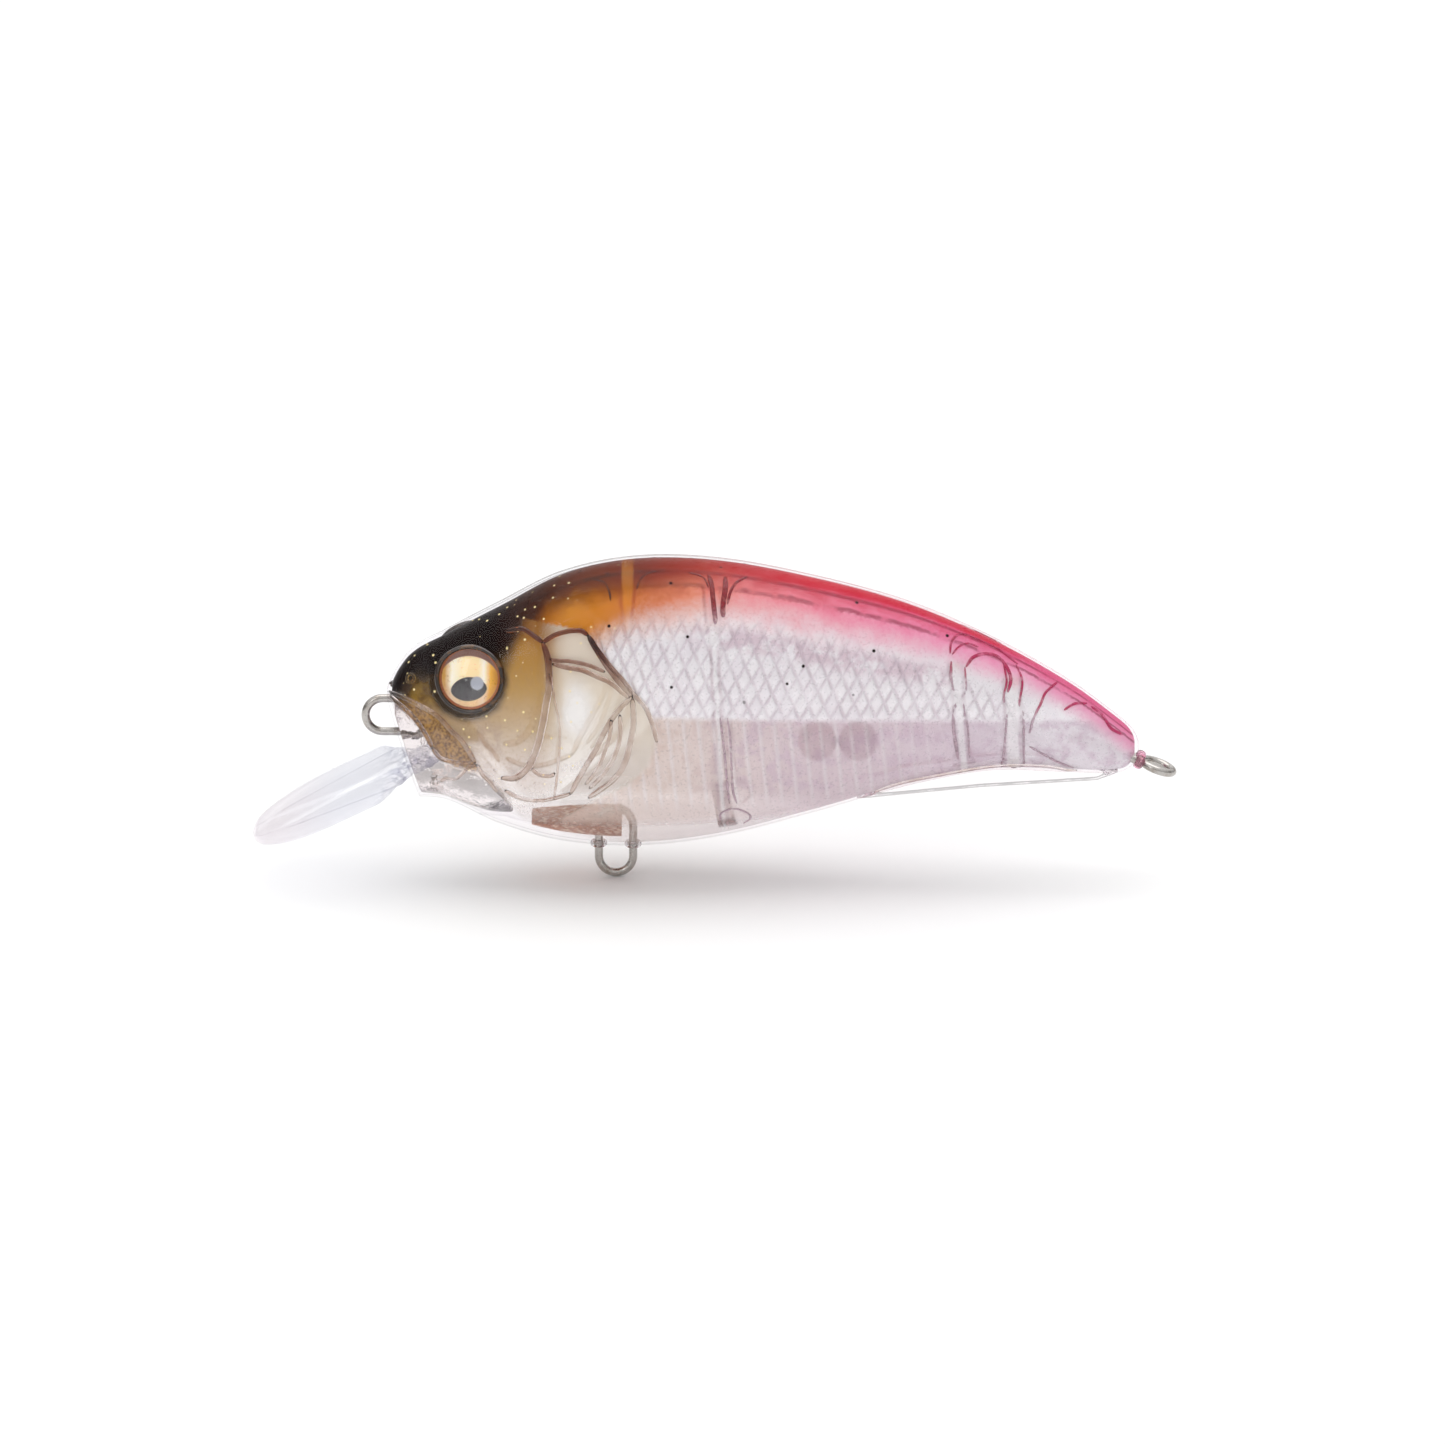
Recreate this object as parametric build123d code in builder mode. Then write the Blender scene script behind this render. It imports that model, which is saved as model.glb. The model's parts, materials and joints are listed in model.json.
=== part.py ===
"""Crankbait lure: a clear hollow body in two halves, a diving lip, wire eyes and rolling balls.

Millimetres. The origin is the centre of the line-tie eye, +X runs to the tail, +Z is up,
the mid-plane is Y = 0 and the fish's left side is -Y.
"""
from build123d import *
from math import acos, comb, cos, degrees, radians, sin, sqrt
import os

os.makedirs("parts", exist_ok=True)

# Body --------------------------------------------------------------------------------
body_length = 71.8          # nose to tail end
back_height = 15.6          # top of the back above the line-tie eye
belly_depth = 12.7          # bottom of the belly below it
body_width = 15.5
section_shoulder = 1.02     # more gives squarer shoulders to the cross-section
section_crown = 0.31        # more gives longer, flatter flanks
wall = 0.8
nose_setback = 0.4          # nose behind the centre of the line-tie eye
chin_rake = 17.5            # the face of the chin leans back by this angle
chin_rake_top = 2.1         # height where that face leaves the nose

# Lines of the body. Each row is a station along the length, then the back, the belly and
# the half-width there, all as shares of the body's own length, heights and width.
lines_plan = [
    (0.000, 0.205, 0.630, 0.300),
    (0.031, 0.410, 0.630, 0.465),
    (0.078, 0.535, 0.646, 0.632),
    (0.148, 0.705, 0.827, 0.800),
    (0.231, 0.897, 0.961, 0.942),
    (0.329, 0.994, 1.000, 1.000),
    (0.440, 0.984, 0.929, 0.968),
    (0.565, 0.878, 0.748, 0.839),
    (0.691, 0.718, 0.543, 0.658),
    (0.802, 0.497, 0.425, 0.490),
    (0.907, 0.221, 0.441, 0.335),
    (0.976, -0.019, 0.441, 0.232),
    (1.000, -0.122, 0.362, 0.155),
]
tail_station = len(lines_plan) - 1
sections_per_station = 3    # cross-sections of the loft in each space between stations
keel_thickness = 1.6
keel_line = [(0.640, 0.640), (0.790, 0.559), (0.945, 0.504), (0.976, 0.430)]

# Moulded walls inside the body, by their distance behind the nose -----------------------
rib_thickness = 1.5
nose_block = 8.6
top_post_at = 22.4
top_post_drop = 3.2         # the short post reaches this far below the inside of the back
middle_bulkhead_at = 30.8
rear_bulkhead_length = 18.0  # the last three are measured from the tail end instead
rear_post_length = 13.0
tail_block_length = 10.2
tail_block_top_lean = 2.8   # the upper part of the tail block's face leans back by this much
tail_block_corner = -0.6    # height where that lean starts
tail_block_top = 3.4        # height where it ends
roof_beam_drop = 3.4        # beam between the rear bulkhead and post, below the inside back
roof_beam_depth = 1.2
floor_thickness = 0.5
floor_height = 1.9          # underside of the ballast floor above the inside of the belly

# Wires -----------------------------------------------------------------------------------
wire_radius = 0.4
eye_wire_bend = 1.64        # bend radius of the wire's centre line in the two hairpin eyes
line_tie_shank = 3.6
belly_hanger_at = 21.84     # behind the nose
belly_hanger_drop = 1.34    # centre of its eye below the belly
belly_hanger_shank = 3.1
butt_gap_angle = 8          # the wire's two ends stop this short of meeting, inside the body
tail_eye_bend = 1.5
tail_neck_bend = 0.8
tail_shank = 7.0
tail_shank_gap = 0.04       # between the two legs of the tail wire
tail_wire_tilt = 20         # the tail eye points down by this angle
tail_wire_height = -4.45    # where the tail wire leaves the body
boss_wall = 0.35            # plastic around a wire where it leaves the body
boss_height = 0.55

# Lip -------------------------------------------------------------------------------------
lip_slope = 25.8
lip_length = 16.6
lip_width = 19.0
lip_thickness = 1.2
lip_tip_length = 8.4        # length of the rounded end
lip_root_height = -4.6      # mid-surface of the lip where it leaves the chin
lip_root_width = 7.0
lip_tongue = 4.6
lip_tongue_width = 5.2
lip_shoulder = 2.6          # where the lip reaches its full width
lip_edge_round = 0.3
lip_wedge_width = 6.8       # raised wedge on each face, at the root
lip_wedge_length = 15.5
lip_wedge_height = 0.25

# Eyes ------------------------------------------------------------------------------------
eye_diameter = 6.0
eye_at = 8.0                # behind the nose
eye_below_back = 4.6        # centre of the eye below the back there
eye_yaw = 13                # the eye looks this much forward
eye_pitch = 13              # and this much up
eye_clearance = 0.04
eye_rim_width = 0.45
eye_rim_proud = 0.25
eye_pocket_depth = 0.7
eye_backing = 0.8           # plastic behind the pocket
foil_thickness = 0.2
lens_edge = 0.25
lens_rise = 1.0

# Weights ---------------------------------------------------------------------------------
ball_diameter = 3.8
ball_clearance = 0.12
ball_height = -2.6          # centre of the rolling balls
rail_thickness = 0.5
rail_gap = 2.0              # slot between the left and right rails
ballast_front_at = 13.8
ballast_rear_at = 22.4
ballast_clearance = 0.05
hanger_rib_margin = 0.55    # plastic around the belly hanger inside the body
hanger_rib_thickness = 1.7
pin_radius = 0.5
pin_length = 1.0
pin_clearance = 0.05
pin_boss_wall = 0.6
pin_below_back = 3.2
tail_pin_below_back = 2.4

reach = body_width + lip_width      # longer than anything that has to be cut through


def lines_at(x):
    """Back height, belly height and half-width at x, on smooth curves through the stations."""
    share = (x - nose_setback) / body_length
    last = len(lines_plan) - 1
    at = max(0, min(last - 1, sum(row[0] <= share for row in lines_plan) - 1))
    rows = [lines_plan[max(0, min(last, at + offset))] for offset in (-1, 0, 1, 2)]
    before, low, high, after = rows
    step = high[0] - low[0]
    t = (share - low[0]) / step
    values = []
    for column in (1, 2, 3):
        # cubic between two stations, whose slope at each is that of the chord around it
        slope_low = step * (high[column] - before[column]) / (high[0] - before[0])
        slope_high = step * (after[column] - low[column]) / (after[0] - low[0])
        values.append(
            (2 * t**3 - 3 * t**2 + 1) * low[column]
            + (t**3 - 2 * t**2 + t) * slope_low
            + (3 * t**2 - 2 * t**3) * high[column]
            + (t**3 - t**2) * slope_high
        )
    back, belly, width = values
    return back * back_height, -belly * belly_depth, width * body_width / 2


def section_curve(top, bottom, half_width):
    """Control points, as Y and Z, of the left half of a cross-section: one Bezier curve."""
    middle, half_height = (top + bottom) / 2, (top - bottom) / 2
    flank = 1.6 - section_shoulder / 2      # puts the widest point of the curve at half_width
    rows = [(0, 1), (section_shoulder, 1), (flank, section_crown)]
    upper = [(-half_width * across, middle + half_height * up) for across, up in rows]
    lower = [(y, 2 * middle - z) for y, z in reversed(upper)]
    return upper + lower


def half_width_at(x, z):
    """Half-width of the body at one point of its side view."""
    points = section_curve(*lines_at(x))
    low, high = 0, 1
    for halving in range(30):
        middle = (low + high) / 2
        weights = [
            comb(5, order) * middle**order * (1 - middle) ** (5 - order) for order in range(6)
        ]
        if sum(weight * point[1] for weight, point in zip(weights, points)) > z:
            low = middle
        else:
            high = middle
    return -sum(weight * point[0] for weight, point in zip(weights, points))


def section_at(x, inset):
    """Left half of the cross-section at x, moved inwards by inset."""
    top, bottom, half_width = lines_at(x)
    points = section_curve(top - inset, bottom + inset, half_width - inset)
    with BuildSketch(Plane(origin=(x, 0, 0), x_dir=(0, 1, 0), z_dir=(1, 0, 0))) as section:
        with BuildLine():
            Bezier(*points)
            Line(points[-1], points[0])
        make_face()
    return section.sketch


def half_hull(inset, first, last):
    """Left half of the body between two stations, closed on the mid-plane."""
    sections = []
    for low, high in zip(lines_plan[first:last], lines_plan[first + 1 : last + 1]):
        for step in range(sections_per_station):
            share = low[0] + (high[0] - low[0]) * step / sections_per_station
            sections.append(section_at(nose_setback + share * body_length, inset))
    sections.append(section_at(nose_setback + lines_plan[last][0] * body_length, inset))
    with BuildPart() as hull:
        loft(sections, ruled=True)
    return hull.part


def behind_nose(distance):
    return nose_setback + distance


def hairpin_wire(eye_plane, shank):
    """Wire bent to a long loop: an open eye at one end, its butted ends at the other."""
    bend = eye_wire_bend
    with BuildPart() as wire:
        with BuildLine(eye_plane) as path:
            CenterArc((-shank, 0), bend, 180 - butt_gap_angle, butt_gap_angle - 90)
            Line((-shank, bend), (0, bend))
            CenterArc((0, 0), bend, 90, -180)
            Line((0, -bend), (-shank, -bend))
            CenterArc((-shank, 0), bend, 270, butt_gap_angle - 90)
        with BuildSketch(Plane(origin=path.line @ 0, z_dir=path.line % 0)):
            Circle(wire_radius)
        sweep(path=path.line)
    return wire.part


# Wire eyes -------------------------------------------------------------------------------
with BuildPart() as line_tie:
    add(hairpin_wire(Plane(origin=(0, 0, 0), x_dir=(-1, 0, 0), z_dir=(0, 1, 0)), line_tie_shank))

belly_hanger_x = behind_nose(belly_hanger_at)
belly_hanger_z = lines_at(belly_hanger_x)[1] - belly_hanger_drop
with BuildPart() as belly_hanger:
    hanger_plane = Plane(
        origin=(belly_hanger_x, 0, belly_hanger_z), x_dir=(0, 0, -1), z_dir=(0, 1, 0)
    )
    add(hairpin_wire(hanger_plane, belly_hanger_shank))

# The tail wire's two legs lie side by side, one in each half of the body, and part into a
# round eye through a short neck bend on each side.
tilt = radians(tail_wire_tilt)
tail_end = nose_setback + body_length
tail_plane = Plane(
    origin=(tail_end, 0, tail_wire_height),
    x_dir=(cos(tilt), 0, -sin(tilt)),
    z_dir=(sin(tilt), 0, cos(tilt)),
)
leg_offset = wire_radius + tail_shank_gap / 2
neck_turn = acos((leg_offset + tail_neck_bend) / (tail_eye_bend + tail_neck_bend))
neck_length = tail_neck_bend * sin(neck_turn)
tail_eye_at = (tail_eye_bend + tail_neck_bend) * sin(neck_turn)
neck_degrees = degrees(neck_turn)
with BuildPart() as tail_hanger:
    with BuildLine(tail_plane) as tail_path:
        Line((-tail_shank, leg_offset), (0, leg_offset))
        neck_centre = leg_offset + tail_neck_bend
        CenterArc((0, neck_centre), tail_neck_bend, 270, neck_degrees)
        CenterArc(
            (tail_eye_at, 0), tail_eye_bend, 90 + neck_degrees, -180 - 2 * neck_degrees
        )
        CenterArc((0, -neck_centre), tail_neck_bend, 90 - neck_degrees, neck_degrees)
        Line((0, -leg_offset), (-tail_shank, -leg_offset))
    with BuildSketch(Plane(origin=tail_path.line @ 0, z_dir=tail_path.line % 0)):
        Circle(wire_radius)
    sweep(path=tail_path.line)

# Diving lip ------------------------------------------------------------------------------
slope = radians(lip_slope)
rake = sin(radians(chin_rake)) / cos(radians(chin_rake))
lip_root_x = nose_setback + (chin_rake_top - lip_root_height) * rake
lip_plane = Plane(
    origin=(lip_root_x, 0, lip_root_height),
    x_dir=(-cos(slope), 0, -sin(slope)),
    z_dir=(-sin(slope), 0, cos(slope)),
)
with BuildPart() as diving_lip:
    with BuildSketch(lip_plane):
        with BuildLine():
            EllipticalCenterArc(
                (lip_length - lip_tip_length, 0), lip_tip_length, lip_width / 2, -90, arc_size=180
            )
            for side in (1, -1):
                full = (lip_shoulder, side * lip_width / 2)
                root = (0, side * lip_root_width / 2)
                tongue_front = (0, side * lip_tongue_width / 2)
                Line((lip_length - lip_tip_length, full[1]), full)
                TangentArc(full, root, tangent=(-1, 0))
                Line(root, tongue_front)
                Line(tongue_front, (-lip_tongue, tongue_front[1]))
            Line((-lip_tongue, lip_tongue_width / 2), (-lip_tongue, -lip_tongue_width / 2))
        make_face()
    extrude(amount=lip_thickness / 2, both=True)
    outer_edges = diving_lip.edges().filter_by(
        lambda edge: lip_plane.to_local_coords(edge.center()).X > lip_shoulder
        and abs(lip_plane.to_local_coords(edge.center()).Z) > lip_thickness / 4
    )
    fillet(outer_edges, lip_edge_round)
    # a raised wedge on each face stiffens the lip, and narrows from the root to the tip
    with BuildSketch(lip_plane):
        wedge_side = lip_wedge_width / 2
        Polygon((0, wedge_side), (lip_wedge_length, 0), (0, -wedge_side), align=None)
    extrude(amount=lip_thickness / 2 + lip_wedge_height, both=True)

# Eye planes and pieces -------------------------------------------------------------------
yaw, pitch = radians(eye_yaw), radians(eye_pitch)
eye_x = behind_nose(eye_at)
eye_height = lines_at(eye_x)[0] - eye_below_back
eye_plane = Plane(
    origin=(eye_x, -half_width_at(eye_x, eye_height), eye_height),
    x_dir=(cos(yaw), -sin(yaw), 0),
    z_dir=(-sin(yaw) * cos(pitch), -cos(yaw) * cos(pitch), sin(pitch)),
)
eye_radius = eye_diameter / 2
pocket_floor = eye_rim_proud - eye_pocket_depth
with BuildPart() as eye_foil_left:
    with BuildSketch(eye_plane.offset(pocket_floor)):
        Circle(eye_radius)
    extrude(amount=foil_thickness)

lens_back = pocket_floor + foil_thickness
with BuildPart() as eye_lens_left:
    with BuildSketch(Plane(origin=eye_plane.origin, x_dir=eye_plane.x_dir, z_dir=-eye_plane.y_dir)):
        with BuildLine():
            Line((0, lens_back), (eye_radius, lens_back))
            Line((eye_radius, lens_back), (eye_radius, lens_back + lens_edge))
            TangentArc(
                (0, lens_back + lens_rise), (eye_radius, lens_back + lens_edge), tangent=(1, 0)
            )
            Line((0, lens_back + lens_rise), (0, lens_back))
        make_face()
    revolve(axis=Axis(eye_plane.origin, eye_plane.z_dir))

# Rolling balls and belly ballast ---------------------------------------------------------
# The two balls rest side by side in the middle of their race between the two bulkheads.
rear_bulkhead_at = body_length - rear_bulkhead_length
rear_post_at = body_length - rear_post_length
tail_block_at = body_length - tail_block_length
race_front = behind_nose(middle_bulkhead_at + rib_thickness)
race_rear = behind_nose(rear_bulkhead_at)
ball_radius = ball_diameter / 2
ball_pitch = ball_diameter + ball_clearance
ball_travel = (race_rear - race_front - ball_pitch - ball_diameter) / 2 - ball_clearance
print("each way the balls can roll", round(ball_travel, 3))
balls = []
for side in (-1, 1):
    ball_x = (race_front + race_rear + side * ball_pitch) / 2
    with BuildPart(Plane(origin=(ball_x, 0, ball_height))) as ball:
        Sphere(ball_radius)
    balls.append(ball)

belly_inside = -belly_depth + wall
hanger_rib_top = (
    belly_hanger_z + belly_hanger_shank + eye_wire_bend + wire_radius + hanger_rib_margin
)
hanger_rib_half_length = eye_wire_bend + wire_radius + hanger_rib_margin
floor_bottom = belly_inside + floor_height
with BuildPart() as belly_ballast:
    add(half_hull(wall + ballast_clearance, 0, tail_station - 1))
    with BuildSketch(Plane.XZ):
        with Locations((behind_nose(ballast_front_at), floor_bottom - ballast_clearance)):
            Rectangle(
                ballast_rear_at - ballast_front_at, belly_depth, align=(Align.MIN, Align.MAX)
            )
    extrude(amount=reach, both=True, mode=Mode.INTERSECT)
    mirror(about=Plane.XZ)
    # the rear end is forked, and straddles the rib that holds the belly hanger
    with BuildSketch(Plane.XZ):
        with Locations((belly_hanger_x - hanger_rib_half_length - ballast_clearance, 0)):
            Rectangle(reach, 2 * reach, align=(Align.MIN, Align.CENTER))
    extrude(
        amount=hanger_rib_thickness / 2 + ballast_clearance, both=True, mode=Mode.SUBTRACT
    )

# Hollow of the left half -----------------------------------------------------------------
half_rail_gap = rail_gap / 2
rail_offset = sqrt((ball_radius + ball_clearance) ** 2 - half_rail_gap**2)
pin_boss_radius = pin_radius + pin_clearance + pin_boss_wall
foot_pin_x = race_front + pin_boss_radius / 2
pin_places = [(foot_pin_x, lines_at(foot_pin_x)[1] + wall + pin_boss_radius)]
for pin_x, drop in (
    (behind_nose(nose_block - 2.8), pin_below_back),
    (behind_nose(top_post_at + rib_thickness / 2), pin_below_back),
    (tail_end - tail_block_length / 2, tail_pin_below_back),
):
    pin_places.append((pin_x, lines_at(pin_x)[0] - drop))
with BuildPart() as hollow:
    add(half_hull(wall, 0, tail_station - 1))
    with BuildSketch(Plane.XZ):
        Polygon(
            (behind_nose(nose_block), -2 * belly_depth),
            (behind_nose(nose_block), 2 * back_height),
            (behind_nose(tail_block_at + tail_block_top_lean), 2 * back_height),
            (behind_nose(tail_block_at + tail_block_top_lean), tail_block_top),
            (behind_nose(tail_block_at), tail_block_corner),
            (behind_nose(tail_block_at), -2 * belly_depth),
            align=None,
        )
    extrude(amount=reach, both=True, mode=Mode.INTERSECT)
    with BuildSketch(Plane.XZ):
        for wall_at in (middle_bulkhead_at, rear_bulkhead_at, rear_post_at):
            with Locations((behind_nose(wall_at), 0)):
                Rectangle(rib_thickness, 2 * reach, align=(Align.MIN, Align.CENTER))
        with Locations((behind_nose(top_post_at), back_height - wall - top_post_drop)):
            Rectangle(rib_thickness, reach, align=(Align.MIN, Align.MIN))
        beam_top = lines_at(behind_nose(rear_post_at))[0] - wall - roof_beam_drop
        with Locations((behind_nose(rear_bulkhead_at), beam_top + roof_beam_depth)):
            Rectangle(
                rear_post_at - rear_bulkhead_at, roof_beam_depth, align=(Align.MIN, Align.MAX)
            )
        with Locations((behind_nose(nose_block), floor_bottom)):
            Rectangle(
                middle_bulkhead_at - nose_block, floor_thickness, align=(Align.MIN, Align.MIN)
            )
    extrude(amount=reach, both=True, mode=Mode.SUBTRACT)
    # rails above and below the balls, with the slot between them on the mid-plane
    with BuildSketch(Plane.XZ.offset(half_rail_gap)):
        rail_length = rear_bulkhead_at - middle_bulkhead_at
        with Locations((behind_nose(middle_bulkhead_at), ball_height + rail_offset)):
            Rectangle(rail_length, rail_thickness, align=(Align.MIN, Align.MIN))
        with Locations((behind_nose(middle_bulkhead_at), ball_height - rail_offset)):
            Rectangle(rail_length, rail_thickness, align=(Align.MIN, Align.MAX))
    extrude(amount=reach, mode=Mode.SUBTRACT)
    with BuildSketch(Plane.XZ):
        with Locations((belly_hanger_x, hanger_rib_top)):
            Rectangle(2 * hanger_rib_half_length, reach, align=(Align.CENTER, Align.MAX))
    extrude(amount=hanger_rib_thickness / 2, both=True, mode=Mode.SUBTRACT)
    with BuildSketch(Plane.XZ):
        with Locations(*pin_places):
            Circle(pin_boss_radius)
    extrude(amount=reach, both=True, mode=Mode.SUBTRACT)
    with BuildSketch(eye_plane.offset(reach)):
        Circle(eye_radius + eye_clearance + eye_rim_width)
    extrude(amount=-reach + pocket_floor - eye_backing, mode=Mode.SUBTRACT)

# Body halves -----------------------------------------------------------------------------
belly_at_hanger = lines_at(belly_hanger_x)[1]
with BuildPart() as left_shell:
    add(half_hull(0, 0, tail_station))
    with BuildSketch(Plane.XZ):
        lower = [(behind_nose(a * body_length), -b * belly_depth) for a, b in keel_line]
        upper = [(lower[-1][0], tail_wire_height), (lower[0][0], tail_wire_height)]
        Polygon(*lower, *upper, align=None)
    extrude(amount=keel_thickness / 2)
    split(
        bisect_by=Plane(
            origin=(nose_setback, 0, chin_rake_top),
            z_dir=(cos(radians(chin_rake)), 0, sin(radians(chin_rake))),
        )
    )
    with BuildSketch(eye_plane.offset(pocket_floor - eye_backing)):
        Circle(eye_radius + eye_clearance + eye_rim_width)
    extrude(amount=eye_backing + eye_pocket_depth)
    # bosses around the wires where they leave the body
    with BuildSketch(Plane(origin=(0, 0, belly_at_hanger - boss_height))):
        with Locations((belly_hanger_x - eye_wire_bend, 0), (belly_hanger_x + eye_wire_bend, 0)):
            Circle(wire_radius + boss_wall)
    extrude(amount=boss_height + wall)
    boss_end = tail_plane.origin + tail_plane.x_dir * boss_height
    with BuildSketch(Plane(origin=boss_end, z_dir=-tail_plane.x_dir)):
        Circle(leg_offset + wire_radius + boss_wall)
    extrude(amount=boss_height + 2 * wall)
    split(bisect_by=Plane.XZ, keep=Keep.TOP)
    add(hollow.part, mode=Mode.SUBTRACT)
    with BuildSketch(eye_plane.offset(pocket_floor)):
        Circle(eye_radius + eye_clearance)
    extrude(amount=reach, mode=Mode.SUBTRACT)
    for wire in (line_tie, belly_hanger, tail_hanger):
        add(wire.part, mode=Mode.SUBTRACT)
    add(diving_lip.part, mode=Mode.SUBTRACT)

with BuildPart() as body_left_half:
    add(left_shell.part)
    with BuildSketch(Plane.XZ):
        with Locations(*pin_places):
            Circle(pin_radius)
    extrude(amount=-pin_length)

with BuildPart() as body_right_half:
    add(left_shell.part.mirror(Plane.XZ))
    with BuildSketch(Plane.XZ):
        with Locations(*pin_places):
            Circle(pin_radius + pin_clearance)
    extrude(amount=-pin_length - pin_clearance, mode=Mode.SUBTRACT)

with BuildPart() as eye_foil_right:
    add(eye_foil_left.part.mirror(Plane.XZ))

with BuildPart() as eye_lens_right:
    add(eye_lens_left.part.mirror(Plane.XZ))

pieces = {
    "body_left_half": body_left_half,
    "body_right_half": body_right_half,
    "diving_lip": diving_lip,
    "line_tie": line_tie,
    "belly_hanger": belly_hanger,
    "tail_hanger": tail_hanger,
    "eye_foil_left": eye_foil_left,
    "eye_foil_right": eye_foil_right,
    "eye_lens_left": eye_lens_left,
    "eye_lens_right": eye_lens_right,
    "belly_ballast": belly_ballast,
    "balancer_ball_front": balls[0],
    "balancer_ball_rear": balls[1],
}
for node, piece in pieces.items():
    piece.part.label = node
    export_step(piece.part, f"parts/{node}.step")
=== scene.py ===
"""Crankbait lure: clear hollow body with a colour coat inside it, clear lip, wire eyes, domed eyes.

Shapes are worked out in millimetres and go into the meshes in metres. +X runs from the head to
the tail, +Z is up, and the fish's left side faces -Y.
"""

import json
from math import comb, cos, radians, sin, tan

import bpy
import numpy as np
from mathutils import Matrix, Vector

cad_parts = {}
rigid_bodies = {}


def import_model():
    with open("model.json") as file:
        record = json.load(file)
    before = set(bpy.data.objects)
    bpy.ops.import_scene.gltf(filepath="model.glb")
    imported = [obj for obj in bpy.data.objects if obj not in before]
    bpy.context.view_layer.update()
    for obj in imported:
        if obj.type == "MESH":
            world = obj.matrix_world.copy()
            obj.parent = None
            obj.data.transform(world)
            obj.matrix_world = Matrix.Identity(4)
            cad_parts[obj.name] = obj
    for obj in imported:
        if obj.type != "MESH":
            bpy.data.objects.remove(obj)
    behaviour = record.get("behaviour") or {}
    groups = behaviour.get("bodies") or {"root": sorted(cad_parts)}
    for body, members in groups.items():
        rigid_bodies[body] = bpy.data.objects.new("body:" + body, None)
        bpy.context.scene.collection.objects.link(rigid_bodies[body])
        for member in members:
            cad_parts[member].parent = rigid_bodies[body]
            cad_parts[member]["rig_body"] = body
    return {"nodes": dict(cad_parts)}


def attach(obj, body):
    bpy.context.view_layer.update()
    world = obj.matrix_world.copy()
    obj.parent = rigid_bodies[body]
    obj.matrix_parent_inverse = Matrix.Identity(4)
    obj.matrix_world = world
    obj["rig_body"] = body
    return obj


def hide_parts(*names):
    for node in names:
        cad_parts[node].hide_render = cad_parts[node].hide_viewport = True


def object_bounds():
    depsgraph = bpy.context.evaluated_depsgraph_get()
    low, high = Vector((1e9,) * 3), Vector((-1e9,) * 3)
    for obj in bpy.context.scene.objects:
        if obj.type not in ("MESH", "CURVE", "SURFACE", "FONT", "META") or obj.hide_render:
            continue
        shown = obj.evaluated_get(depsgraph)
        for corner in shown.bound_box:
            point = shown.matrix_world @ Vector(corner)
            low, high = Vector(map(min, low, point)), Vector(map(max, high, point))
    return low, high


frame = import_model()
cad_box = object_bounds()

MM = 0.001
HULL = "hull"
PLASTIC_IOR = 1.49
WALL_TINT = (0.995, 0.99, 0.995, 1.0)

# Lines of the body: share of the length, then the back, the belly and the half-width ---------
BODY_LENGTH = 71.8
BACK_HEIGHT = 15.6
BELLY_DEPTH = 12.7
BODY_WIDTH = 15.5
NOSE = 0.4
TAIL = NOSE + BODY_LENGTH
CHIN_RAKE = radians(17.5)
CHIN_RAKE_TOP = 2.1
SECTION_SHOULDER = 1.02
SECTION_CROWN = 0.31
LINES_PLAN = np.array(
    [
        (0.000, 0.205, 0.630, 0.300), (0.031, 0.410, 0.630, 0.465), (0.078, 0.535, 0.646, 0.632),
        (0.148, 0.705, 0.827, 0.800), (0.231, 0.897, 0.961, 0.942), (0.329, 0.994, 1.000, 1.000),
        (0.440, 0.984, 0.929, 0.968), (0.565, 0.878, 0.748, 0.839), (0.691, 0.718, 0.543, 0.658),
        (0.802, 0.497, 0.425, 0.490), (0.907, 0.221, 0.441, 0.335), (0.976, -0.019, 0.441, 0.232),
        (1.000, -0.122, 0.362, 0.155),
    ]
)
WALL = 0.8
HEAD_COAT_DEPTH = 0.50      # the colour coat lies this far inside the outer surface at the head
BACK_COAT_DEPTH = 0.30      # and this far behind it and at the belly
EDGE_ROUND = 0.9            # rounding of the nose and of the tail end
SEAM_GAP = 0.012            # each half stops this far short of the mid-plane
WALL_POINTS = 84            # points round the outer face of each half's cross-section

# Scales pressed in the coat: two families of lines x/length + z/height and x/length - z/height,
# above a panel edge that falls towards the tail, and upright grooves below it
SCALE_LENGTH = 1.44
SCALE_HEIGHT = 2.68
SCALE_LEAN = 0.12
GROOVE_LEAN = 0.10
PANEL_EDGE = 3.1
PANEL_SLOPE = 0.045

# Eyes ---------------------------------------------------------------------------------------
EYE_X = 8.4
EYE_YAW = radians(13)
EYE_PITCH = radians(13)
EYE_RADIUS = 3.0
POCKET_FLOOR = -0.45
EYE_BELOW_BACK = 4.6

# Relief lines moulded in the body, as x and z on its side ------------------------------------
BROW = [(11.8, 9.4), (12.5, 9.6), (13.5, 9.8), (14.4, 9.4), (15.4, 8.8)]
GILL_TOP = [(15.4, 8.8), (16.5, 9.5), (17.7, 9.9), (18.5, 10.0), (19.1, 10.0), (19.7, 9.6)]
GILL_REAR = [(19.7, 9.6), (20.6, 8.2), (21.6, 6.7), (22.7, 5.3), (23.9, 4.0)]
PREOPERCLE = [
    (15.4, 8.8), (15.9, 7.2), (16.0, 4.8), (15.7, 3.0), (15.4, 1.2), (14.9, -1.0), (14.1, -3.1),
    (12.9, -4.4), (11.4, -4.6),
]
OPERCLE_FOLD = [
    (23.9, 4.0), (22.8, 2.9), (21.9, 1.7), (21.1, 0.2), (20.4, -1.3), (19.4, -3.1), (18.6, -4.6),
    (18.0, -5.9),
]
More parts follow.
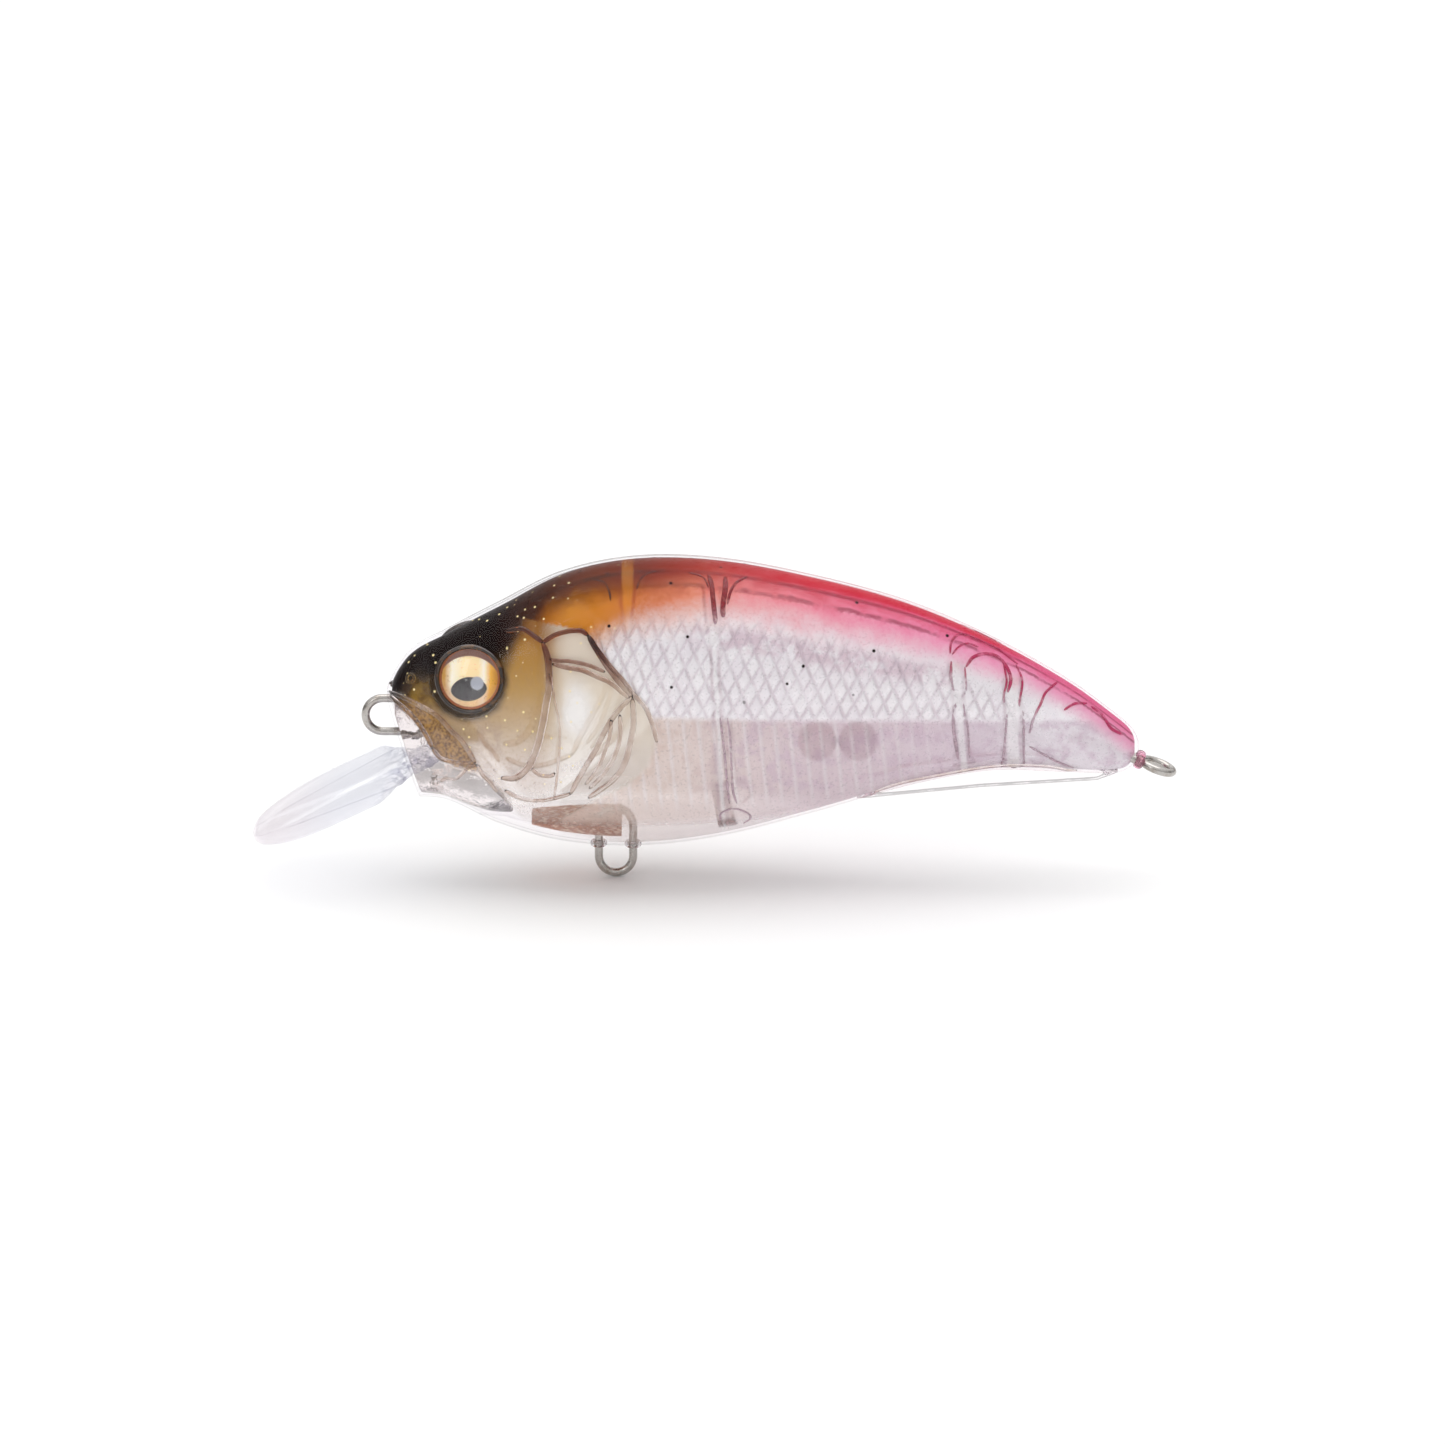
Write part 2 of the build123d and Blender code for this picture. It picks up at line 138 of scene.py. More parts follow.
GILL_EDGE = [
    (23.9, 3.8), (24.0, 1.4), (23.7, -0.5), (23.3, -2.2), (22.7, -3.5), (21.9, -4.5), (20.7, -5.5),
    (19.7, -6.3),
]
STRUT_UPPER = [(16.0, 7.3), (16.9, 7.2), (18.0, 7.2), (19.7, 6.9), (21.3, 6.3)]
STRUT_LOWER = [(16.3, 6.9), (17.7, 6.6), (19.1, 6.4), (20.6, 5.8), (21.9, 5.2), (23.6, 3.8)]
FOLD_INNER = [(21.9, 1.7), (21.7, 0.0), (21.3, -1.3), (20.6, -3.2), (19.4, -4.9)]
FOLD_OUTER = [(22.7, 2.2), (22.7, -0.1), (22.1, -2.1), (21.1, -3.8), (19.8, -5.3)]
SHOULDER = [
    (19.7, 9.6), (20.7, 8.2), (21.9, 6.7), (23.0, 5.5), (24.2, 4.0), (25.0, 3.1), (25.5, 2.1),
    (25.9, 0.9), (26.2, -0.5),
]
CHEEK_SEAM = [(16.0, 6.0), (16.5, 3.5), (17.0, 0.6), (16.8, -3.2), (16.4, -6.6)]
CHEEK_CURL = [(14.3, -3.3), (14.7, -3.8), (15.3, -4.1), (16.1, -4.1), (16.5, -3.8)]
CHEEK_FOOT = [(11.7, -5.9), (13.1, -6.6), (14.5, -6.8), (15.9, -6.6), (18.0, -5.9)]
MOUTH_UPPER = [
    (0.7, 2.7), (1.8, 2.6), (2.9, 2.3), (3.9, 1.9), (5.0, 1.4), (5.9, 0.7), (6.6, -0.1),
    (7.2, -0.6), (7.7, -1.1), (8.2, -1.9), (8.7, -2.7), (8.9, -3.2),
]
MOUTH_LOWER = [
    (0.8, 2.4), (1.6, 1.9), (2.6, 1.2), (3.4, 0.4), (3.9, -0.3), (4.4, -1.1), (4.8, -2.0),
]
JAW_CORNER = [(4.8, -2.0), (5.6, -3.0), (6.9, -3.3), (8.0, -3.3), (8.9, -3.2)]
JAW_WAVE = [(5.5, -5.6), (6.1, -5.1), (7.0, -5.1), (7.6, -4.5), (8.3, -3.7), (9.1, -3.4)]
JAW_FOLD = [(9.1, -3.4), (9.7, -4.5), (10.4, -5.2), (11.0, -6.2)]
KEEL_CREASE = [(46.9, -6.9), (49.4, -6.0), (53.2, -5.3), (58.5, -4.5), (63.4, -4.6), (66.3, -5.4)]
# each ridge: its line, its width and how far it stands out of the body
RIDGES = [
    (BROW, 0.42, 0.16), (GILL_TOP, 0.42, 0.16), (GILL_REAR, 0.50, 0.18),
    (PREOPERCLE, 0.62, 0.22), (OPERCLE_FOLD, 0.46, 0.18), (GILL_EDGE, 0.50, 0.2),
    (STRUT_UPPER, 0.34, 0.12), (STRUT_LOWER, 0.40, 0.14), (FOLD_INNER, 0.34, 0.12),
    (FOLD_OUTER, 0.38, 0.14), (SHOULDER, 0.40, 0.12), (CHEEK_SEAM, 0.22, 0.07),
    (CHEEK_CURL, 0.36, 0.12), (CHEEK_FOOT, 0.40, 0.12), (MOUTH_UPPER, 0.44, 0.20),
    (MOUTH_LOWER, 0.40, 0.18), (JAW_CORNER, 0.36, 0.16), (JAW_WAVE, 0.34, 0.14),
    (JAW_FOLD, 0.34, 0.14), (KEEL_CREASE, 0.30, 0.10),
]
# where walls and blocks inside the body meet the coat, drawn as lines of painted shade: each line and
# its width
WALL_EDGES = [
    ([(54.1, 7.0), (54.2, 7.9), (54.7, 8.4), (55.5, 8.4), (57.0, 7.8), (58.7, 6.9), (60.6, 5.5)], 0.24),
    ([(54.3, 6.9), (54.9, 7.5), (55.8, 7.7), (56.8, 7.3)], 0.18),
    ([(55.6, 5.7), (56.3, 6.5), (57.5, 6.7), (58.7, 6.3), (59.5, 5.4), (59.9, 4.3), (59.6, 3.1)], 0.34),
    ([(59.2, 5.7), (59.5, 4.1), (59.2, 2.6), (59.5, 0.6), (59.2, -3.7), (59.1, -4.5)], 0.22),
    ([(60.4, 5.5), (61.0, 4.0), (60.7, 1.8), (61.1, 0.6), (61.2, -4.2)], 0.22),
    ([(59.1, -4.0), (59.2, -4.7), (59.9, -5.0), (60.8, -4.9), (61.2, -4.4), (61.2, -3.9)], 0.26),
    ([(54.2, 6.3), (54.2, 4.4), (54.6, 2.4), (54.4, 0.3), (54.9, -3.5)], 0.30),
    ([(55.5, 5.7), (55.6, 3.8), (55.4, 1.8), (55.8, -0.2), (56.0, -3.5)], 0.20),
    ([(64.4, 3.6), (64.0, 3.4), (63.2, 2.8), (62.8, 1.9), (62.1, 0.5), (61.7, -1.0)], 0.26),
    ([(61.7, -2.4), (62.8, -3.1), (64.3, -4.1), (66.0, -5.0)], 0.24),
    ([(65.0, 1.1), (66.0, 1.6), (67.2, 1.5)], 0.26),
    ([(67.6, 1.2), (68.7, 0.3), (69.5, -0.9), (70.6, -1.6)], 0.30),
    ([(20.2, 14.1), (21.2, 14.0), (21.7, 13.3), (21.8, 12.6)], 0.20),
    ([(24.3, 13.6), (24.6, 14.3), (25.2, 14.7), (26.2, 14.9)], 0.20),
    ([(31.1, 14.6), (31.4, 13.9), (31.6, 12.3), (31.8, 10.6)], 0.46),
    ([(32.7, 14.4), (32.7, 13.6), (32.5, 12.3), (32.5, 11.2)], 0.50),
    ([(29.2, 14.8), (30.2, 14.6), (30.8, 14.3), (31.1, 13.7)], 0.20),
    ([(34.8, 14.3), (33.8, 14.0), (33.2, 13.3), (32.9, 12.3)], 0.26),
    ([(32.2, 1.8), (32.5, -0.6), (32.7, -2.6), (32.9, -5.1), (33.1, -7.2)], 0.22),
    ([(32.9, 1.8), (33.2, -0.7), (33.4, -5.4), (33.8, -7.2)], 0.22),
    ([(32.3, -9.1), (32.3, -8.3), (33.5, -7.8), (34.8, -8.4), (35.1, -9.1), (34.4, -9.8)], 0.22),
]
# small bubbles moulded in along the front of the tail block: x, z and radius
BUBBLES = [
    (61.3, 0.5, 0.30), (61.2, -0.5, 0.36), (61.4, -1.4, 0.32), (61.6, -2.2, 0.34),
    (63.5, -3.5, 0.17), (64.0, -3.8, 0.16), (64.5, -4.1, 0.17), (65.1, -4.5, 0.15),
]
# where a wall meets the coat, a pale core painted as light through the clear wall between two darker
# lines
# painted as shade at its edges: x of its middle, lean, half-width high up and low down, the z range
# over which it narrows, its low and high end, length of its fade
WALL_MARKS = [
    (23.4, 0.0, 0.78, 0.45, 10.5, 14.0, 10.2, 15.6, 2.4),
    (32.1, 0.05, 0.80, 0.42, 7.0, 13.0, -11.5, 14.2, 1.0),
    (55.1, 0.09, 0.66, 0.56, 3.0, 6.0, -6.0, 6.6, 1.0),
    (60.1, 0.02, 0.86, 0.80, 2.0, 4.0, -5.6, 4.8, 0.6),
]
# rear edge of the gill cover: x for each z
GILL_LINE_Z = [-9.0, -6.3, -5.0, -3.0, -0.5, 0.9, 2.1, 3.1, 4.0, 5.5, 6.7, 8.2, 9.6, 10.2, 11.0]
GILL_LINE_X = [17.0, 21.0, 23.5, 25.5, 26.2, 25.9, 25.5, 25.0, 24.2, 23.0, 21.9, 20.7, 19.6, 17.5, 9.0]
# lower edge of the painted face: z for each x
FACE_LINE_X = [0.4, 1.6, 2.6, 3.4, 3.9, 4.4, 4.8, 6.9, 9.0, 11.4, 13.5, 30.0]
FACE_LINE_Z = [2.5, 1.9, 1.2, 0.4, -0.3, -1.1, -2.0, -3.6, -3.9, -6.2, -9.0, -14.0]


def smooth(value, low, high):
    """Smooth step: 3t^2 - 2t^3, where t goes from 0 at low to 1 at high."""
    t = np.clip((value - low) / (high - low), 0, 1)
    return t * t * (3 - 2 * t)


def lines_at(x):
    """Back, belly and half-width at x: a cubic through the stations with chord slopes."""
    share = (np.asarray(x, float) - NOSE) / BODY_LENGTH
    last = len(LINES_PLAN) - 1
    at = np.clip(np.searchsorted(LINES_PLAN[:, 0], share, side="right") - 1, 0, last - 1)
    before, low = LINES_PLAN[np.maximum(at - 1, 0)], LINES_PLAN[at]
    high, after = LINES_PLAN[at + 1], LINES_PLAN[np.minimum(at + 2, last)]
    step = high[..., 0] - low[..., 0]
    t = (share - low[..., 0]) / step
    weights = 2 * t**3 - 3 * t**2 + 1, t**3 - 2 * t**2 + t, 3 * t**2 - 2 * t**3, t**3 - t**2
    values = []
    for column, size in ((1, BACK_HEIGHT), (2, -BELLY_DEPTH), (3, BODY_WIDTH / 2)):
        slope_low = (high[..., column] - before[..., column]) / (high[..., 0] - before[..., 0])
        slope_high = (after[..., column] - low[..., column]) / (after[..., 0] - low[..., 0])
        ends = low[..., column], step * slope_low, high[..., column], step * slope_high
        values.append(size * sum(weight * end for weight, end in zip(weights, ends)))
    return values


EYE_Z = float(lines_at(EYE_X)[0]) - EYE_BELOW_BACK

FLANK = 1.6 - SECTION_SHOULDER / 2
ACROSS = np.array([0, SECTION_SHOULDER, FLANK, FLANK, SECTION_SHOULDER, 0])
UP = np.array([1, 1, SECTION_CROWN, -SECTION_CROWN, -1, -1])


def bezier(t):
    """Weights of a degree-five Bezier curve's six control points at t."""
    return np.stack([comb(5, k) * t**k * (1 - t) ** (5 - k) for k in range(6)], -1)


def body_surface(x, t, inset):
    """Points of the left half at x and t, moved inwards by inset. t runs from the back, 0, to
    the belly, 1, along the Bezier curve of the cross-section."""
    x, t, inset = np.broadcast_arrays(np.asarray(x, float), t, inset)
    top, bottom, half = lines_at(x)
    top, bottom, half = top - inset, bottom + inset, np.maximum(half - inset, 0.05)
    weights = bezier(t)
    y = -(weights @ ACROSS) * half
    z = (top + bottom) / 2 + (weights @ UP) * (top - bottom) / 2
    return np.stack([x, y, z], -1)


def half_width_at(x, z, inset=0.0):
    """Half-width of the body at x and z, by halving the range of t until its z is found."""
    x, z = np.broadcast_arrays(np.asarray(x, float), np.asarray(z, float))
    low, high = np.zeros_like(x), np.ones_like(x)
    for halving in range(26):
        middle = (low + high) / 2
        above = body_surface(x, middle, inset)[..., 2] > z
        low, high = np.where(above, middle, low), np.where(above, high, middle)
    return -body_surface(x, low, inset)[..., 1]


def surface_normal(x, z):
    """Outward normal of the left side at x and z, from differences over a tenth of a mm."""
    d = 0.1
    slope_x = (half_width_at(x + d, z) - half_width_at(x - d, z)) / (2 * d)
    slope_z = (half_width_at(x, z + d) - half_width_at(x, z - d)) / (2 * d)
    normal = np.stack([-slope_x, -np.ones_like(slope_x), -slope_z], -1)
    return normal / np.linalg.norm(normal, axis=-1, keepdims=True)


def curve_through(points, spacing):
    """Evenly spaced points on the Catmull-Rom curve through the given ones: on each span the
    cubic whose end slopes are half the chords between the neighbours."""
    p = np.array(points, float)
    p = np.vstack([2 * p[0] - p[1], p, 2 * p[-1] - p[-2]])
    t = np.linspace(0, 1, 24, endpoint=False)[:, None, None]
    a, b, c, d = p[:-3], p[1:-2], p[2:-1], p[3:]
    spans = 0.5 * (
        2 * b + (c - a) * t + (2 * a - 5 * b + 4 * c - d) * t**2 + (3 * b - 3 * c + d - a) * t**3
    )
    fine = np.vstack([spans.transpose(1, 0, 2).reshape(-1, p.shape[1]), p[-2]])
    run = np.concatenate([[0], np.cumsum(np.linalg.norm(np.diff(fine, axis=0), axis=1))])
    even = np.linspace(0, run[-1], max(4, int(run[-1] / spacing)))
    return np.stack([np.interp(even, run, fine[:, k]) for k in range(p.shape[1])], -1)


# Meshes ---------------------------------------------------------------------------------------
def grid_faces(rows, columns):
    """Quads of a grid of rows by columns whose last column joins the first."""
    j = np.arange(columns)
    i = np.arange(rows - 1)[:, None] * columns
    k = (j + 1) % columns
    return np.stack([i + j, i + k, i + columns + k, i + columns + j], -1).reshape(-1, 4)


def fan_faces(ring, centre, flip):
    """Triangles from a ring of points to its centre."""
    after = np.roll(ring, -1)
    faces = np.stack([ring, after, np.full_like(ring, centre)], -1)
    return faces[:, ::-1] if flip else faces


def add_mesh(name, points, face_sets, material, slot="body_shell", attributes=None):
    """A mesh object from points in mm and sets of faces, turned so that its faces point out."""
    points = np.asarray(points, float).reshape(-1, 3)
    volume = 0
    for faces in face_sets:
        for k in range(1, faces.shape[1] - 1):
            corners = points[faces[:, [0, k, k + 1]]]
            volume += (corners[:, 0] * np.cross(corners[:, 1], corners[:, 2])).sum()
    if volume < 0:
        face_sets = [faces[:, ::-1] for faces in face_sets]
    mesh = bpy.data.meshes.new(name)
    sizes = np.concatenate([np.full(len(faces), faces.shape[1]) for faces in face_sets])
    loops = np.concatenate([faces.reshape(-1) for faces in face_sets])
    mesh.vertices.add(len(points))
    mesh.vertices.foreach_set("co", (points * MM).astype(np.float32).ravel())
    mesh.loops.add(len(loops))
    mesh.loops.foreach_set("vertex_index", loops.astype(np.int32))
    mesh.polygons.add(len(sizes))
    mesh.polygons.foreach_set("loop_start", (np.cumsum(sizes) - sizes).astype(np.int32))
    mesh.polygons.foreach_set("use_smooth", np.ones(len(sizes), bool))
    mesh.update(calc_edges=True)
    for key, values in (attributes or {}).items():
        layer = mesh.attributes.new(key, "FLOAT", "POINT")
        layer.data.foreach_set("value", np.asarray(values, np.float32).ravel())
    mesh.validate()
    piece = bpy.data.objects.new(name, mesh)
    bpy.context.scene.collection.objects.link(piece)
    piece.data.materials.append(material)
    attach(piece, HULL)
    return piece


def tube_grid(rings, first_pole, last_pole):
    """Points and face sets of a closed tube: rings of points with a pole at each end."""
    rows, columns = rings.shape[:2]
    points = np.vstack([rings.reshape(-1, 3), first_pole, last_pole])
    first, end = np.arange(columns), rows * columns
    ends = fan_faces(first, end, True), fan_faces(first + end - columns, end + 1, False)
    return points, [grid_faces(rows, columns), *ends]


def join_parts(parts):
    """Several sets of points and faces as one."""
    points, face_sets, start = [], [], 0
    for part_points, part_faces in parts:
        points.append(part_points)
        face_sets += [faces + start for faces in part_faces]
        start += len(part_points)
    return np.vstack(points), face_sets


def mirrored(part):
    """The same part on the other side of the mid-plane, its faces turned to point out."""
    points, face_sets = part
    return points * [1, -1, 1], [faces[:, ::-1] for faces in face_sets]


def add_pair(name, left, material, attributes=None):
    """A piece on the fish's left side and its mirror image on the right."""
    for side, part in (("left", left), ("right", mirrored(left))):
        add_mesh(f"{name}_{side}", *part, material, attributes=attributes)


def closed_rings(rings):
    """A tube's points and face sets, with each end closed at the middle of its ring."""
    return tube_grid(rings, rings[0].mean(0), rings[-1].mean(0))


def swept_tube(path, normals, widths, heights, around=12):
    """A tube along path whose cross-section is an ellipse, widths across the normals and heights
    along them: path + width/2 cos(a) across + height/2 sin(a) normal."""
    tangent = np.gradient(path, axis=0)
    tangent /= np.linalg.norm(tangent, axis=1, keepdims=True)
    across = np.cross(tangent, normals)
    across /= np.linalg.norm(across, axis=1, keepdims=True)
    up = np.cross(across, tangent)
    angle = np.linspace(0, 2 * np.pi, around, endpoint=False)[None, :, None]
    rings = (
        path[:, None]
        + np.cos(angle) * across[:, None] * (np.asarray(widths) / 2)[:, None, None]
        + np.sin(angle) * up[:, None] * (np.asarray(heights) / 2)[:, None, None]
    )
    return tube_grid(rings, path[0], path[-1])


def taper(count, share):
    """Widths that grow from a point over a share of the length at each end: sqrt(1-(1-s)^2)."""
    s = np.clip(np.minimum(np.arange(count), np.arange(count)[::-1]) / (share * count) + 0.1, 0, 1)
    return np.sqrt(1 - (1 - s) ** 2)


def revolved(profile, origin, axis, around=48):
    """A closed profile of radius and height turned round an axis through origin, as a torus."""
    axis = np.array(axis, float) / np.linalg.norm(axis)
    side = np.cross(axis, [0, 0, 1.0]) if abs(axis[2]) < 0.9 else np.cross(axis, [1.0, 0, 0])
    side /= np.linalg.norm(side)
    other = np.cross(axis, side)
    angle = np.linspace(0, 2 * np.pi, around, endpoint=False)[:, None, None]
    profile = np.array(profile, float)
    radius, height = profile[None, :, :1], profile[None, :, 1:]
    points = origin + radius * (np.cos(angle) * side + np.sin(angle) * other) + height * axis
    rows, columns = around, len(profile)
    faces = grid_faces(rows + 1, columns) % (rows * columns)
    return points.reshape(-1, 3), [faces]


def rounded_rectangle(half_a, half_b, corner, count=7):
    """Points in order round rectangles of half-sizes a and b with round corners, as a and b."""
    angle = np.linspace(0, np.pi / 2, count)
    corner = np.minimum(corner, np.minimum(half_a, half_b) * 0.98)
    half_a, half_b, corner = (np.asarray(v, float)[..., None] for v in (half_a, half_b, corner))
    loops = []
    for quarter, (sign_a, sign_b) in enumerate(((1, 1), (-1, 1), (-1, -1), (1, -1))):
        turned = angle + quarter * np.pi / 2
        a = sign_a * (half_a - corner) + corner * np.cos(turned)
        b = sign_b * (half_b - corner) + corner * np.sin(turned)
        loops.append(np.stack([a, b], -1))
    return np.concatenate(loops, -2)


def cross_wall(path, thickness, reach=None, corner=0.35):
    """A moulded wall across the body: a round-cornered rectangle carried along a line of the side
    view, thickness measured in that view, and as wide as the cavity there or as reach."""
    line = curve_through(path, 0.3)
    tangent = np.gradient(line, axis=0)
    tangent /= np.linalg.norm(tangent, axis=1, keepdims=True)
    normal = np.stack([-tangent[:, 1], tangent[:, 0]], -1)
    share = np.linspace(0, 1, len(line))
    thick = np.interp(share, np.linspace(0, 1, len(thickness)), thickness)
    if reach is None:
        corners = line[:, None] + normal[:, None] * thick[:, None, None] * [[[-0.5], [0], [0.5]]]
        top, bottom = lines_at(corners[..., 0])[:2]
        z = np.clip(corners[..., 1], bottom + WALL + 0.05, top - WALL - 0.05)
        half = np.maximum(half_width_at(corners[..., 0], z, WALL).min(1) - 0.03, 0.3)
    else:
        half = np.interp(share, np.linspace(0, 1, len(reach)), reach)
    loop = rounded_rectangle(thick / 2, half, np.full(len(line), corner))
    x = line[:, None, 0] + loop[..., 0] * normal[:, None, 0]
    z = line[:, None, 1] + loop[..., 0] * normal[:, None, 1]
    ends = [(p[0], 0, p[1]) for p in (line[0], line[-1])]
    return tube_grid(np.stack([x, loop[..., 1], z], -1), *ends)


# Materials ------------------------------------------------------------------------------------
def srgb(red, green, blue):
    """A colour given as 0 to 255 on a screen, as the linear values that shaders use."""
    values = np.array([red, green, blue]) / 255
    linear = np.where(values <= 0.04045, values / 12.92, ((values + 0.055) / 1.055) ** 2.4)
    return (*(float(v) for v in linear), 1.0)


class Value:
    """A socket that can be used in arithmetic: each operation adds its Math node."""

    def __init__(self, finish, socket):
        self.finish, self.socket = finish, socket

    def __add__(self, other):
        return self.finish.math("ADD", self, other)

    def __radd__(self, other):
        return self.finish.math("ADD", other, self)

    def __sub__(self, other):
        return self.finish.math("SUBTRACT", self, other)

    def __rsub__(self, other):
        return self.finish.math("SUBTRACT", other, self)

    def __mul__(self, other):
        return self.finish.math("MULTIPLY", self, other)

    def __rmul__(self, other):
        return self.finish.math("MULTIPLY", other, self)

    def __truediv__(self, other):
        return self.finish.math("DIVIDE", self, other)

    def __pow__(self, other):
        return self.finish.math("POWER", self, other)

    def __abs__(self):
        return self.finish.math("ABSOLUTE", self)


class Finish:
    """A procedural material, or the world's light, being made."""

    def __init__(self, name, world=None):
        self.owner = world or bpy.data.materials.new(name)
        self.owner.use_nodes = True
        self.tree = self.owner.node_tree
        self.tree.nodes.clear()

    def node(self, kind, settings=None, **sockets):
        """One node of a type: its settings first, then the values or links of its sockets. A
        socket is named by its label, with _ for a space, or by s and its number."""
        node = self.tree.nodes.new("ShaderNode" + kind)
        settings = dict(settings or {})
        stops = settings.pop("stops", None)
        for key, value in settings.items():
            setattr(node, key, value)
        if stops:
            ramp = node.color_ramp
            while len(ramp.elements) < len(stops):
                ramp.elements.new(0.5)
            for element, (place, colour) in zip(ramp.elements, sorted(stops)):
                element.position = place
                element.color = colour
        for key, value in sockets.items():
            number = key[1:] if key[0] == "s" and key[1:].isdigit() else None
            socket = node.inputs[int(number)] if number else node.inputs[key.replace("_", " ")]
            if isinstance(value, Value):
                self.tree.links.new(value.socket, socket)
            elif isinstance(value, bpy.types.NodeSocket):
                self.tree.links.new(value, socket)
            else:
                socket.default_value = value
        return node

    def math(self, operation, *values):
        """One Math node."""
        sockets = {f"s{k}": value for k, value in enumerate(values)}
        node = self.node("Math", {"operation": operation}, **sockets)
        return Value(self, node.outputs[0])

    def distance(self, across, up):
        """Length of across and up: sqrt(across^2 + up^2)."""
        return self.math("SQRT", across**2.0 + up**2.0)

    def most(self, *values):
        """The greatest of some values."""
        greatest = values[0]
        for value in values[1:]:
            greatest = self.math("MAXIMUM", greatest, value)
        return greatest

    def mix(self, share, first, second):
        """A colour between two."""
        node = self.node("Mix", {"data_type": "RGBA"}, s0=share, s6=first, s7=second)
        return node.outputs[2]

    def step(self, value, low, high):
        """A smooth step of value from 0 at low to 1 at high."""
        sockets = {"s0": value, "s1": low, "s2": high}
        node = self.node("MapRange", {"interpolation_type": "SMOOTHSTEP"}, **sockets)
        return Value(self, node.outputs[0])

    def band(self, value, rise, full, fall, end):
        """1 between full and fall, running out smoothly to 0 at rise and at end."""
        return self.step(value, rise, full) * (1.0 - self.step(value, fall, end))

    def ramp(self, value, stops):
        """A colour read off a list of places and screen colours."""
        stops = [(place, srgb(*colour)) for place, *colour in stops]
        return self.node("ValToRGB", {"stops": stops}, s0=value).outputs[0]

    def place(self):
        """Object coordinates in mm: the vector, then x, y and z."""
        coordinates = self.node("TexCoord").outputs["Object"]
        scaled = self.node("VectorMath", {"operation": "SCALE"}, s0=coordinates, Scale=1 / MM)
        parts = self.node("SeparateXYZ", s0=scaled.outputs[0]).outputs
        return scaled.outputs[0], *(Value(self, part) for part in parts)

    def noise(self, vector, scale, detail=2.0, roughness=0.5):
        """Noise of about 0.5 on average."""
        sockets = {"Vector": vector, "Scale": scale, "Detail": detail, "Roughness": roughness}
        return Value(self, self.node("TexNoise", **sockets).outputs[0])

    def attribute(self, name):
        """A number stored on the mesh."""
        return Value(self, self.node("Attribute", {"attribute_name": name}).outputs["Fac"])

    def bump(self, height, strength, distance):
        """A normal from a height in units of distance."""
        return self.node("Bump", Height=height, Strength=strength, Distance=distance).outputs[0]

    def principled(self, **sockets):
        """The main shader's output."""
        return self.node("BsdfPrincipled", **sockets).outputs[0]

    def blend(self, share, first, second):
        """A mix of two shaders."""
        return self.node("MixShader", s0=share, s1=first, s2=second).outputs[0]

    def window(self, colour):
        """A shader that lets light straight through."""
        return self.node("BsdfTransparent", Color=colour).outputs[0]

    def mirror(self, roughness, normal):
        """A shader for what a clear surface reflects."""
        white = (1.0, 1.0, 1.0, 1.0)
        return self.principled(Base_Color=white, Metallic=1.0, Roughness=roughness, Normal=normal)

    def facing(self):
        """0 where the surface faces the eye, 1 where it is seen edge on."""
        return Value(self, self.node("LayerWeight", Blend=0.5).outputs["Facing"])

    def dots(self, vector, scale, core, rim, chance):
        """Round dots, one in each cell whose random number is above chance."""
        cells = self.node("TexVoronoi", Vector=vector, Scale=scale, Randomness=1.0)
        dot = 1.0 - self.step(Value(self, cells.outputs["Distance"]), core, rim)
        number = self.node("SeparateXYZ", s0=cells.outputs["Color"]).outputs[0]
        return dot * self.step(Value(self, number), *chance)

    def opaque(self, **sockets):
        """Ends with the main shader alone."""
        return self.end(self.principled(**sockets))

    def glass(self, tint, roughness, normal, shade):
        """Ends with solid plastic that bends light and lets lamps through as a faint shade."""
        sockets = {"Roughness": roughness, "IOR": PLASTIC_IOR, "Transmission_Weight": 1.0}
        bent = self.principled(Base_Color=tint, Normal=normal, **sockets)
        shadow = self.node("LightPath").outputs["Is Shadow Ray"]
        return self.end(self.blend(shadow, bent, self.window(shade)))

    def end(self, shader):
        """Joins the shader to the output."""
        self.node("OutputMaterial", Surface=shader)
        return self.owner


def clear_plastic(
    name, tint=(1.0, 1.0, 1.0, 1.0), shade=(0.93, 0.92, 0.93, 1.0), wave=0.4, grain=0.35
):
    """Solid clear plastic with a faint waviness."""
    f = Finish(name)
    ripple = f.noise(f.place()[0], grain, 3.0)
    return f.glass(tint, 0.02, f.bump(ripple, wave, 0.00012), shade)


def skin_finish():
    """The clear outer wall: sees through, mirrors more at a glancing angle, and darkens at its
    outline, over the back more and in the coat's colours."""
    f = Finish("clear_body_wall")
    vector, x, _, z = f.place()
    facing = f.facing()
    ripple = f.noise(vector, 0.25, 2.0) + f.noise(vector, 2.5, 2.0) * 0.12
    tint = f.ramp(
        x * (1 / TAIL),
        [
            (0.0, 150, 132, 128), (0.12, 70, 54, 52), (0.26, 70, 34, 14), (0.40, 124, 46, 34),
            (0.55, 200, 60, 84), (0.85, 230, 132, 164), (1.0, 226, 166, 190),
        ],
    )
    outline = f.principled(Base_Color=tint, Roughness=0.25)
    above = f.step(z + x * 0.20, 8.0, 13.0)
    dark = f.blend(facing**5.0 * (0.30 + above * 0.45), f.window(WALL_TINT), outline)
    gloss = f.mirror(0.05, f.bump(ripple, 0.5, 0.00016))
    return f.end(f.blend(facing**5.0 * 0.05 + 0.008, dark, gloss))


def inside_finish():
    """The hidden face of the clear wall, which mirrors only at a glancing angle."""
    f = Finish("clear_wall_inside")
    ripple = f.noise(f.place()[0], 0.5, 2.0)
    gloss = f.mirror(ripple * 0.1 + 0.04, f.bump(ripple, 0.5, 0.0002))
    return f.end(f.blend(f.facing()**5.0 * 0.08 + 0.002, f.window(WALL_TINT), gloss))


